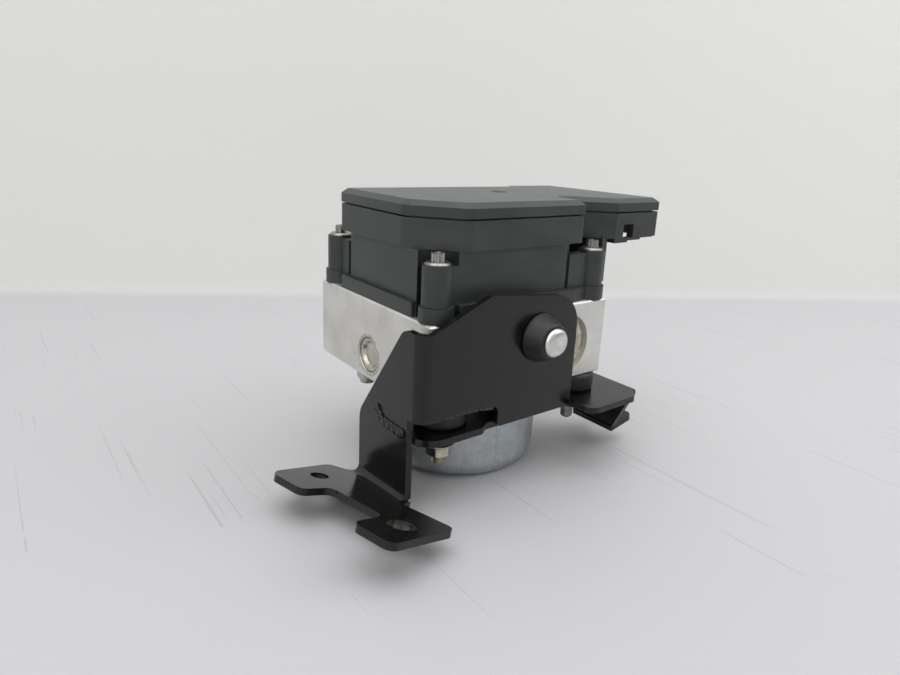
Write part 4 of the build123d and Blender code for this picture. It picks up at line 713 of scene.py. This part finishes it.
# ---- valve block
@dataclass
class ValveBlock:
    """Machined block with its pump plugs, accumulator caps and port threads; sizes in mm."""

    side: float = 52.5
    front: float = -47.5
    back: float = 47.5
    edge: float = 0.25
    plug_place: tuple[float, float] = (0.0, 57.3)
    plug_face: float = 52.1
    plug_radius: float = 8.5
    cap_x: float = 26.2
    cap_z: float = 63.0
    cap_face: float = -45.5
    port_z: float = 71.0
    port_pitch: float = 14.5
    thread_depth: float = 11.5
    thread_start: float = -1.5
    thread_turns: int = 10
    mark_place: tuple[float, float] = (-22.7, 74.2)

    def build(self) -> None:
        """Builds and dresses the block's pieces."""
        aluminium = MilledAluminium().material()
        block = reshaped("valve_block", "valve_block_body", self.edge)
        y, z = self.mark_place
        cone = [(0, 0.9), (0.9, 0.0), (0.9, -1.0), (0, -1.0)]
        cut_with(block, turned("pit", cone, (-self.side, y, z), Axis.X, 24))
        smooth(block)
        dress(block, aluminium, Slot.BLOCK, "valve_block")
        self.build_plugs()
        self.build_caps()
        self.build_port_threads(aluminium)

    def build_plugs(self) -> None:
        """Two dished plugs over the pump bores, each in a staked ring of the block."""
        y, z = self.plug_place
        r = self.plug_radius
        dish = [
            (0, -1.5), (0.62 * r, -1.5), (0.72 * r, -0.35), (0.78 * r, 0.0), (0.9 * r, 0.0),
            (0.93 * r, -0.5), (r - 0.03, -0.6), (r - 0.03, -8.0), (0, -8.0),
        ]
        stake = [(r - 0.3, -0.9), (r - 0.3, 0.25), (r + 0.25, 0.6), (r + 1.15, 0.6), (r + 1.5, 0.3)]
        stake += [(r + 1.5, -0.9)]
        for side, name in ((-1, "left"), (1, "right")):
            face = side * self.plug_face
            centre = (face, y, z)
            bright = TurnedMetal(
                f"turned_steel_plug_{name}", "#cbc8be", "#b1ada3", Axis.X, centre, 0.5, 0.26
            )
            metal = bright.material()
            plug = turned(f"pump_plug_{name}", [(a, side * b) for a, b in dish], centre, Axis.X)
            soften(plug, 0.18)
            dress(plug, metal, Slot.STEEL, "pump_plugs")
            ring = turned(
                f"plug_stake_{name}", [(a, side * b) for a, b in stake], centre, Axis.X, closed=True
            )
            soften(ring, 0.2)
            dress(ring, metal, Slot.BLOCK)

    def build_caps(self) -> None:
        """Two pressed caps over the accumulator bores, with stamped rings."""
        pressed = [
            (0, -0.6), (3.2, -0.6), (4.0, -0.1), (7.6, -0.1), (8.6, 0.5), (9.6, 0.5),
            (10.4, 1.2), (12.2, 1.2), (13.0, 0.6), (14.65, 0.6), (14.65, 2.0), (0, 2.0),
        ]
        for side, name in ((-1, "left"), (1, "right")):
            centre = (side * self.cap_x, self.cap_face, self.cap_z)
            cap = turned(f"accumulator_cap_{name}", pressed, centre, Axis.Y, 80)
            soften(cap, 0.25)
            zinc = TurnedMetal(
                f"stamped_zinc_cap_{name}", "#d6d0c1", "#b8b2a3", Axis.Y, centre, 0.9, 0.28, 0.01
            )
            dress(cap, zinc.material(), Slot.ZINC, "accumulator_caps")

    def build_port_threads(self, aluminium: Finish) -> None:
        """Cut threads inside the six ports of the back face."""
        places = [(self.port_pitch * (i - 1.5), 4.5) for i in range(4)]
        places += [(side * self.port_pitch * 2.5, 5.5) for side in (-1, 1)]
        for number, (x, radius) in enumerate(places, start=1):
            root, valley, crest = radius + 0.15, radius - 0.05, radius - 0.45
            teeth = [(root, -self.thread_depth)]
            for i in range(self.thread_turns):
                low = i - self.thread_depth
                teeth += [(valley, low), (crest, low + 0.5)]
            teeth += [(valley, self.thread_start), (root, self.thread_start)]
            ring = turned(
                f"port_thread_{number}", teeth, (x, self.back, self.port_z), Axis.Y, 36,
                closed=True,
            )
            smooth(ring, 20)
            dress(ring, aluminium, Slot.BLOCK)


# ---- pump motor
@dataclass
class PumpMotor:
    """Drawn can with its flange and screws; sizes in mm."""

    radius: float = 40.0
    height: float = 42.5
    corner: float = 8.0
    arc_steps: int = 8
    boss: float = 9.0

    def build(self) -> None:
        """Builds and dresses the motor's pieces."""
        zinc = Galvanised().material()
        side = self.radius - self.corner
        profile = [(0, 0.7), (self.boss, 0.7), (self.boss + 1.2, 0.0), (side, 0.0)]
        for i in range(1, self.arc_steps + 1):
            turn = math.pi / 2 * i / self.arc_steps
            across = side + self.corner * math.sin(turn)
            profile.append((across, self.corner * (1 - math.cos(turn))))
        wall = 1.6
        profile += [
            (self.radius, self.height - 1.4), (self.radius + 0.5, self.height),
            (self.radius - wall, self.height), (self.radius - wall, self.corner), (side, wall),
            (0, wall + 0.7),
        ]
        can = turned("motor_can_shell", profile, (0, 0, 0), Axis.Z, 96)
        smooth(can, 30)
        dress(can, zinc, Slot.GALVANISED, "motor_can")
        flange = reshaped("motor_flange", "motor_flange_plate", 0.3)
        dress(flange, zinc, Slot.GALVANISED, "motor_flange")
        plated = InnerFinish("zinc_plated_screw", "#8d8d88", "#bdbcb4", 0.95, 0.34, 0.8)
        screws = reshaped("motor_screws", "motor_screw_pair", 0.2)
        dress(screws, plated.material(), Slot.ZINC, "motor_screws")


# ---- electronic unit
@dataclass
class ElectronicUnit:
    """Moulded housing and lid with four star-headed bolts; sizes in mm."""

    edge: float = 0.35
    lid_edge: float = 0.45
    dimple: Point = (20.2, 0.1, 130.2)

    def build(self) -> None:
        """Builds and dresses the unit's pieces."""
        shell = GlassFilledMoulding("housing_moulding", "#272b2b", "#363b3a")
        cover = GlassFilledMoulding("lid_moulding", "#27302d", "#36413d", roughness=0.36)
        housing = reshaped("ecu_housing", "unit_housing", self.edge)
        dress(housing, shell.material(), Slot.HOUSING, "ecu_housing")
        lid = reshaped("ecu_lid", "unit_lid", self.lid_edge)
        dish = [(0, -0.7), (3.4, -0.6), (4.3, -0.1), (4.6, 0.3), (0, 0.3)]
        cut_with(lid, turned("lid_dimple", dish, self.dimple, Axis.Z, 40))
        smooth(lid)
        dress(lid, cover.material(), Slot.LID, "ecu_lid")
        plated = InnerFinish("zinc_plated_bolt", "#7d7e79", "#a3a39c", 0.95, 0.32, 0.8)
        bolts = reshaped("housing_bolts", "unit_bolts", 0.15)
        dress(bolts, plated.material(), Slot.ZINC, "housing_bolts")


# ---- bracket and cradle
@dataclass
class BracketSheets:
    """Pressed bracket and cradle with their welds and weld nut; sizes in mm."""

    edge: float = 0.4
    wing_face: float = -60.5
    bead_start: float = -42.2
    bead_turn: float = -26.2
    bead_end: float = -22.4
    bead_height: float = 37.7
    bead_rise: float = 3.9
    bead_radius: float = 2.1
    bead_sink: float = 1.2     # bead is cut off this far inside the wing
    ripple: float = 1.35
    swell: float = 0.1         # share by which the ripples vary
    swell_turn: float = 2.1
    fillet_start: Point = (-56.9, -41.0, 32.9)
    fillet_step: float = 1.3
    fillet_drops: int = 15
    fillet_radius: float = 2.2
    weld_angle: float = 50.0
    remesh: float = 0.3

    def build(self) -> None:
        """Builds and dresses the sheets' pieces."""
        paint = Electrocoat().material()
        bracket = reshaped("mounting_bracket", "bracket_sheet", self.edge)
        dress(bracket, paint, Slot.PAINT, "mounting_bracket")
        cradle = reshaped("cradle", "cradle_sheet", self.edge)
        dress(cradle, paint, Slot.PAINT, "cradle")
        nut = reshaped("weld_nut", "foot_weld_nut", 0.3)
        worn = InnerFinish("worn_painted_nut", "#3c3b38", "#6f6d66", 0.8, 0.3, 1.6)
        dress(nut, worn.material(), Slot.PAINT, "weld_nut")
        self.build_beads(paint)

    def ripple_centres(self) -> list[Vector]:
        """Centres of the bead's ripples in mm, along the wing and up at its end."""
        points = [
            Vector((self.wing_face, self.bead_start, self.bead_height)),
            Vector((self.wing_face, self.bead_turn, self.bead_height)),
            Vector((self.wing_face, self.bead_end, self.bead_height + self.bead_rise)),
        ]
        centres = []
        for start, end in zip(points, points[1:]):
            count = round((end - start).length / self.ripple)
            centres += [start.lerp(end, i / count) for i in range(count)]
        return centres + [points[-1]]

    def drop(
        self,
        centre: Vector,
        radius: float,
        facets: tuple[int, int],
        scale: Point,
        tilt: float = 0.0,
    ) -> Piece:
        """One drop of weld metal.

        Args:
            centre: Its centre in millimetres.
            radius: Its radius in millimetres.
            facets: Segments round it and rings up it.
            scale: Its stretch along each axis.
            tilt: Turn about Y in degrees.

        Returns:
            The drop.
        """
        deselect_all()
        bpy.ops.mesh.primitive_uv_sphere_add(
            segments=facets[0], ring_count=facets[1], radius=radius * MM, location=centre * MM,
            rotation=(0, math.radians(tilt), 0), scale=scale,
        )
        piece = bpy.context.object
        settle(piece)
        return piece

    def fused(self, drops: Sequence[Piece], name: str) -> Piece:
        """Drops melted into one rippled piece."""
        weld = joined(drops, name)
        modify(weld, "REMESH", mode="VOXEL", voxel_size=self.remesh * MM)
        modify(weld, "SMOOTH", factor=0.5, iterations=3)
        return weld

    def build_beads(self, paint: Finish) -> None:
        """Rippled bead on the wing's outer face and a fillet weld under the cradle."""
        drops = []
        for number, centre in enumerate(self.ripple_centres()):
            swell = 1 + self.swell * math.sin(number * self.swell_turn)
            drops.append(self.drop(centre, self.bead_radius * swell, (20, 12), (0.8, 0.62, 1.0)))
        bead = self.fused(drops, "wing_weld_bead")
        with editing(bead):
            bpy.ops.mesh.select_all(action="SELECT")
            bpy.ops.mesh.bisect(
                plane_co=((self.wing_face + self.bead_sink) * MM, 0, 0), plane_no=(1, 0, 0),
                use_fill=True, clear_outer=True,
            )
        smooth(bead, self.weld_angle)
        dress(bead, paint, Slot.PAINT, "weld_beads")
        self.build_fillet_weld(paint)

    def build_fillet_weld(self, paint: Finish) -> None:
        """Rippled weld in the corner between the wing's inner face and the cradle's underside."""
        x, y, z = self.fillet_start
        drops = [
            self.drop(
                Vector((x, y + self.fillet_step * number, z)), self.fillet_radius, (16, 10),
                (1.0, 0.62, 0.7), 45,
            )
            for number in range(self.fillet_drops)
        ]
        weld = self.fused(drops, "cradle_fillet_weld")
        smooth(weld, self.weld_angle)
        dress(weld, paint, Slot.PAINT)


# ---- isolators and fixings
@dataclass
class Suspension:
    """Rubber isolators, their stud, pin and nut, and the front grommet; sizes in mm."""

    left_x: float = -38.5
    right_x: float = 42.5
    y: float = -37.5
    cradle_bottom: float = 33.5
    cradle_top: float = 36.5
    block_bottom: float = 45.5
    stud_radius: float = 3.0
    stud_end: float = 16.7
    pin_end: float = 19.5
    thread_top: float = 25.5
    shank_start: float = 25.4
    pin_top: float = 52.0
    nut_top: float = 27.0
    nut_bottom: float = 21.2
    nut_flats: float = 10.0
    grommet_x: float = 2.2
    grommet_z: float = 72.4
    plate_face: float = -53.5
    grommet_tip: float = -62.7

    def left_axis(self) -> Point:
        """Point on the left isolator's axis."""
        return (self.left_x, self.y, 0)

    def build(self) -> None:
        """Builds and dresses every piece of the suspension."""
        self.build_isolators()
        self.build_stud()
        self.build_pin()
        self.build_nut()
        self.build_grommet()

    def build_isolators(self) -> None:
        """Two rubber bushes that grip the cradle sheet in a groove."""
        rubber = MouldedRubber("isolator_rubber").material()
        bore = self.stud_radius + 0.02
        section = [
            (bore, 27.0), (6.4, 27.0), (7.5, 28.1), (7.5, 33.1), (7.1, 33.5), (6.0, 33.5),
            (6.0, 36.5), (10.3, 36.5), (11.3, 37.4), (11.5, 38.4), (11.5, 43.6), (11.2, 44.6),
            (10.3, 45.5), (bore, 45.5),
        ]
        left = turned("isolator_left", section, self.left_axis(), Axis.Z, 64, closed=True)
        soften(left, 0.3)
        right = copied(left, "isolator_right", (self.right_x - self.left_x, 0, 0))
        dress(left, rubber, Slot.RUBBER, "rubber_isolators")
        dress(right, rubber, Slot.RUBBER, "rubber_isolators")

    def build_stud(self) -> None:
        """Threaded stud below the nut, plain above it."""
        r = self.stud_radius
        end = self.stud_end
        screw = thread("stud_thread", r - 0.5, r, 1.0, end + 1.0, self.thread_top, self.left_axis())
        tip = [(0, end), (r - 1.0, end), (r - 0.5, end + 0.6), (r - 0.5, end + 1.3), (0, end + 1.3)]
        point = turned("stud_tip", tip, self.left_axis(), Axis.Z, 28)
        low = self.shank_start
        top = self.pin_top
        plain = [(0, low), (r - 0.1, low), (r, low + 0.3), (r, top), (0, top)]
        shank = turned("stud_shank", plain, self.left_axis(), Axis.Z, 28)
        smooth(point)
        smooth(shank)
        stud = joined([screw, point, shank], "isolator_stud_left")
        zinc = TurnedMetal(
            "yellow_zinc_stud", "#bcb8a7", "#858270", Axis.Z, (self.left_x, self.y, 0), 0.6, 0.36
        )
        dress(stud, zinc.material(), Slot.ZINC, "isolator_stud")

    def build_pin(self) -> None:
        """Plain pin under the right isolator, with fine turned rings and a rounded end."""
        r = self.stud_radius
        end = self.pin_end
        section = [(0, end), (r - 0.9, end), (r - 0.25, end + 0.5), (r, end + 1.2)]
        height = end + 2.0
        while height < self.nut_top:
            section += [(r, height), (r - 0.12, height + 0.2), (r, height + 0.4)]
            height += 1.1
        section += [(r, self.pin_top), (0, self.pin_top)]
        pin = turned("isolator_pin_right", section, (self.right_x, self.y, 0), Axis.Z, 40)
        smooth(pin, 40)
        steel = TurnedMetal(
            "turned_pin", "#a09f98", "#75746e", Axis.Z, (self.right_x, self.y, 0), 0.5, 0.42
        )
        dress(pin, steel.material(), Slot.ZINC, "locating_pin")

    def build_nut(self) -> None:
        """Hexagon nut with a conical flange."""
        top = self.nut_top
        bottom = self.nut_bottom
        deselect_all()
        bpy.ops.mesh.primitive_cylinder_add(
            vertices=6, radius=self.nut_flats / math.sqrt(3) * MM, depth=(top - bottom) * MM,
            location=Vector((self.left_x, self.y, (top + bottom) / 2)) * MM,
            rotation=(0, 0, math.radians(12)),
        )
        body = bpy.context.object
        settle(body)
        reach = self.nut_flats
        lead = [(0, bottom), (4.7, bottom), (reach, bottom + 3.1), (reach, top + 1), (0, top + 1)]
        cut_with(body, turned("nut_lead", lead, self.left_axis(), Axis.Z, 64), keep=True)
        bore = [(0, bottom - 1), (3.4, bottom - 1), (2.9, bottom + 0.6), (2.9, top), (0, top)]
        cut_with(body, turned("nut_bore", bore, self.left_axis(), Axis.Z, 40))
        soften(body, 0.15, 25)
        cone = [(3.2, top), (7.0, top), (7.1, top - 0.4), (6.6, top - 0.8), (5.0, top - 1.9)]
        cone += [(3.2, top - 1.9)]
        flange = turned("nut_flange", cone, self.left_axis(), Axis.Z, 64, closed=True)
        soften(flange, 0.15)
        nut = joined([body, flange], "isolator_nut_left")
        zinc = TurnedMetal(
            "yellow_zinc_nut", "#cbc8b9", "#9c9987", Axis.Z, (self.left_x, self.y, 0), 0.7, 0.34
        )
        dress(nut, zinc.material(), Slot.ZINC, "flange_nut")

    def build_grommet(self) -> None:
        """Rubber cone in the front plate with a domed pin through it."""
        face = self.plate_face
        tip = self.grommet_tip
        centre = (self.grommet_x, 0, self.grommet_z)
        section = [
            (3.55, tip + 0.2), (6.8, tip + 0.2), (7.5, tip + 0.5), (8.2, tip + 1.6),
            (9.4, tip + 4.2), (10.6, face - 2.2), (11.15, face - 0.8), (10.9, face),
            (8.0, face), (8.0, face + 3.0), (11.0, face + 3.0), (11.0, face + 6.0),
            (3.55, face + 6.0),
        ]
        cone = turned("grommet_cone", section, centre, Axis.Y, 72, closed=True)
        soften(cone, 0.4, 25, 3)
        rubber = MouldedRubber("grommet_rubber", "#090909", "#151514", 0.46)
        dress(cone, rubber.material(), Slot.RUBBER, "plate_grommet")
        dome = [
            (0, tip - 2.3), (2.9, tip - 2.25), (4.8, tip - 2.0), (5.85, tip - 1.45),
            (6.35, tip - 0.6), (6.35, tip + 0.1), (3.5, tip + 0.1), (3.5, face + 17.5),
            (0, face + 17.5),
        ]
        pin = turned("grommet_pin_domed", dome, centre, Axis.Y, 64)
        soften(pin, 0.25, 40)
        zinc = TurnedMetal(
            "zinc_plated_pin", "#e8e9e4", "#cdcfca", Axis.Y, centre, 1.2, 0.34, 0.004
        )
        dress(pin, zinc.material(), Slot.ZINC, "grommet_pin")


# ---- works inside the unit
class InnerWorks:
    """CAD nodes that keep their shape: their real finishes, one for each kind."""

    STEEL = InnerFinish("ground_steel", "#8b8b88", "#b4b4b0", 1.0, 0.28, 0.6)
    SPRING = InnerFinish("spring_steel", "#6e6e6c", "#9a9a96", 1.0, 0.3, 0.5)
    COPPER = InnerFinish("enamelled_copper", "#8a4a24", "#c07a45", 0.9, 0.3, 0.7)
    BRONZE = InnerFinish("sintered_bronze", "#7d6438", "#a88a55", 0.9, 0.5, 0.4)
    FERRITE = InnerFinish("sintered_ferrite", "#1d1d1e", "#303031", 0.0, 0.7, 0.5)
    SHEET = InnerFinish("laminated_steel", "#5a5c5e", "#86888a", 0.9, 0.45, 0.5)
    CARBON = InnerFinish("pressed_carbon", "#1b1b1c", "#333335", 0.1, 0.55, 0.6)
    NATURAL = InnerFinish("natural_polyamide", "#b9b3a0", "#d6d1bf", 0.0, 0.45, 2.0)
    BOARD = InnerFinish("solder_resist_board", "#153a26", "#1f5234", 0.0, 0.4, 1.5)
    BRASS = InnerFinish("tinned_brass", "#b6a777", "#d8cda3", 1.0, 0.28, 0.6)
    SEAL = InnerFinish("seal_rubber", "#161616", "#262625", 0.0, 0.6, 1.5)

    FINISH_OF = {
        "motor_seal": SEAL,
        "ecu_seal": SEAL,
        "motor_magnets": FERRITE,
        "motor_lead": NATURAL,
        "brush_holder": NATURAL,
        "solenoid_coils": NATURAL,
        "rear_bush": BRONZE,
        "rotor_core": SHEET,
        "rotor_windings": COPPER,
        "commutator": COPPER,
        "motor_brushes": CARBON,
        "circuit_board": BOARD,
        "connector_pins": BRASS,
    }

    def build(self) -> None:
        """Gives every CAD node that still shows its finish."""
        built: dict[str, Finish] = {}
        for name, node in frame["nodes"].items():
            if node.hide_render:
                continue
            default = self.SPRING if "spring" in name else self.STEEL
            finish = self.FINISH_OF.get(name, default)
            if finish.name not in built:
                built[finish.name] = finish.material()
            node.data.materials.clear()
            node.data.materials.append(built[finish.name])
        LOG.info("inner works: %d finishes", len(built))


# ---- studio and camera
@dataclass
class Studio:
    """Pale floor running up into a wall, soft lights; sizes in metres."""

    floor_colour: str = "#cbcacd"
    wall_colour: str = "#f6f6f3"
    scratch_colour: str = "#a9a9ad"
    wall_distance: float = 0.61
    cove: float = 0.01
    reach: float = 2.5
    yaw: float = 28.3          # heading of the wall's normal
    sky_light: float = 0.42

    def build(self) -> None:
        """Builds the floor with its wall, the lights and the world."""
        self.build_sweep()
        self.build_lights()
        self.build_world()

    def build_sweep(self) -> None:
        """One sheet: floor, tight cove and wall, which lies across the heading of yaw."""
        turn = math.radians(self.yaw)
        ahead = Vector((math.sin(turn), math.cos(turn), 0))
        aside = Vector((math.cos(turn), -math.sin(turn), 0))
        camera = Vector(Camera.place) * MM
        foot = Vector((camera.x, camera.y, 0)) + ahead * self.wall_distance
        chain = [foot - ahead * self.reach, foot - ahead * self.cove]
        for i in range(1, 9):
            angle = math.pi / 2 * i / 8
            rise = Vector((0, 0, self.cove * (1 - math.cos(angle))))
            chain.append(foot - ahead * self.cove * (1 - math.sin(angle)) + rise)
        chain.append(foot + Vector((0, 0, self.reach)))
        chain = [point - aside * self.reach for point in chain]
        sweep = outline_of("studio_sweep", chain)
        with editing(sweep, "EDGE"):
            bpy.ops.mesh.select_all(action="SELECT")
            step = {"value": tuple(aside * 2 * self.reach)}
            bpy.ops.mesh.extrude_region_move(TRANSFORM_OT_translate=step)
        smooth(sweep, 40)
        sweep.data.materials.append(self.sweep_material(ahead, foot))

    def sweep_material(self, ahead: Vector, foot: Vector) -> Finish:
        """Pale matt paint with faint straight scratches and a few smudges on the floor part.

        Args:
            ahead: Unit vector towards the wall; not used.
            foot: Point on the wall's foot line; not used.

        Returns:
            The material.
        """
        s = Surface("studio_sweep")
        long_lines = s.noise(2.2, 1.0, s.mapped((1.0, 0.012, 1.0), turn=38.0))
        line = s.math("GREATER_THAN", long_lines, 0.7)
        patch = s.math("GREATER_THAN", s.noise(120.0, 2.0), 0.47)
        scratch = s.math("MULTIPLY", s.math("MULTIPLY", line, patch), 0.4)
        smudge = s.math("MULTIPLY", s.math("GREATER_THAN", s.noise(4.0, 2.0), 0.79), 0.3)
        faint = s.math("MAXIMUM", scratch, smudge)
        split = add(s.tree, "ShaderNodeSeparateXYZ", {"Vector": s.place}).outputs
        rise = s.math("MULTIPLY", split["Z"], 1 / self.cove)
        rise.node.use_clamp = True
        floor = s.mix(faint, self.floor_colour, self.scratch_colour)
        colour = s.mix(rise, floor, self.wall_colour)
        return s.finish(Base_Color=colour, Roughness=0.55, IOR=1.4)

    def build_lights(self) -> None:
        """Large soft lamps overhead, from the right and from the left front."""
        self.add_lamp("overhead", (0.1, 0.1, 1.5), 2.2, 26.0)
        self.add_lamp("key_right", (1.1, -0.9, 1.0), 1.0, 6.5)
        self.add_lamp("fill_left", (-1.2, -0.6, 0.8), 1.0, 3.5)

    def add_lamp(self, name: str, place: Point, size: float, power: float) -> None:
        """Adds a square area lamp that faces the object.

        Args:
            name: Name of the lamp.
            place: Its place in metres.
            size: Side of the square in metres.
            power: Power in watts.
        """
        deselect_all()
        bpy.ops.object.light_add(type="AREA", location=place)
        lamp = bpy.context.object
        lamp.name = name
        lamp.data.size = size
        lamp.data.energy = power
        towards = Vector((0, 0, 0.06)) - Vector(place)
        lamp.rotation_euler = towards.to_track_quat("-Z", "Y").to_euler()

    def build_world(self) -> None:
        """Pale surroundings: a plain light for matt faces, a shaded room for what reflects it."""
        world = bpy.data.worlds.new("studio_world")
        bpy.context.scene.world = world
        world.use_nodes = True
        tree = world.node_tree
        tree.nodes.clear()
        pale = {"Color": linear("#eceded"), "Strength": self.sky_light}
        plain = add(tree, "ShaderNodeBackground", pale).outputs[0]
        heading = add(tree, "ShaderNodeTexCoord").outputs["Generated"]
        inputs = {0: heading, 1: (-0.62, 0.52, 0.58)}
        facing = add(tree, "ShaderNodeVectorMath", inputs, operation="DOT_PRODUCT").outputs["Value"]
        level = add(tree, "ShaderNodeMath", {0: facing, 1: 0.5, 2: 0.5}, operation="MULTIPLY_ADD")
        path = add(tree, "ShaderNodeLightPath").outputs
        even = {0: level.outputs[0], 1: path["Is Camera Ray"]}
        tone = add(tree, "ShaderNodeMath", even, operation="MAXIMUM").outputs[0]
        shades = ramp(tree, tone, [(0.1, "#8d8d8c"), (0.5, "#d2d3d2"), (0.85, "#f4f4f2")])
        room = add(tree, "ShaderNodeBackground", {"Color": shades, "Strength": 1.0}).outputs[0]
        either = {0: path["Is Camera Ray"], 1: path["Is Glossy Ray"]}
        shown = add(tree, "ShaderNodeMath", either, operation="MAXIMUM").outputs[0]
        mixed = add(tree, "ShaderNodeMixShader", {0: shown, 1: plain, 2: room}).outputs[0]
        add(tree, "ShaderNodeOutputWorld", {"Surface": mixed})


class Camera:
    """Camera at the viewing angle of a table-top view from the front left."""

    place: Point = (-188.3, -236.4, 153.4)
    yaw = 37.46
    pitch = 14.23
    roll = -2.66
    focal_pixels = 625.604
    width = 900
    sensor = 36.0
    shift_rows = -37.5

    def build(self) -> None:
        """Adds the camera and makes it the scene's."""
        y, p, r = (math.radians(value) for value in (self.yaw, self.pitch, self.roll))
        ahead = Vector((math.sin(y) * math.cos(p), math.cos(y) * math.cos(p), -math.sin(p)))
        right = Vector((math.cos(y), -math.sin(y), 0))
        down = ahead.cross(right)
        turned_right = right * math.cos(r) + down * math.sin(r)
        turned_down = down * math.cos(r) - right * math.sin(r)
        deselect_all()
        bpy.ops.object.camera_add()
        camera = bpy.context.object
        camera.name = "camera"
        columns = Matrix((turned_right, -turned_down, -ahead)).transposed()
        camera.matrix_world = Matrix.Translation(Vector(self.place) * MM) @ columns.to_4x4()
        camera.data.sensor_width = self.sensor
        camera.data.lens = self.sensor * self.focal_pixels / self.width
        camera.data.shift_y = self.shift_rows / self.width
        camera.data.clip_start = 0.01
        bpy.context.scene.camera = camera


def main() -> None:
    """Builds every class in order."""
    logging.basicConfig(level=logging.INFO, format="%(name)s: %(message)s")
    bpy.context.scene.view_settings.view_transform = "Standard"
    for maker in (ValveBlock(), PumpMotor(), ElectronicUnit(), BracketSheets(), Suspension()):
        maker.build()
        LOG.info("%s built", type(maker).__name__)
    InnerWorks().build()
    Studio().build()
    Camera().build()


if __name__ == "__main__":
    main()
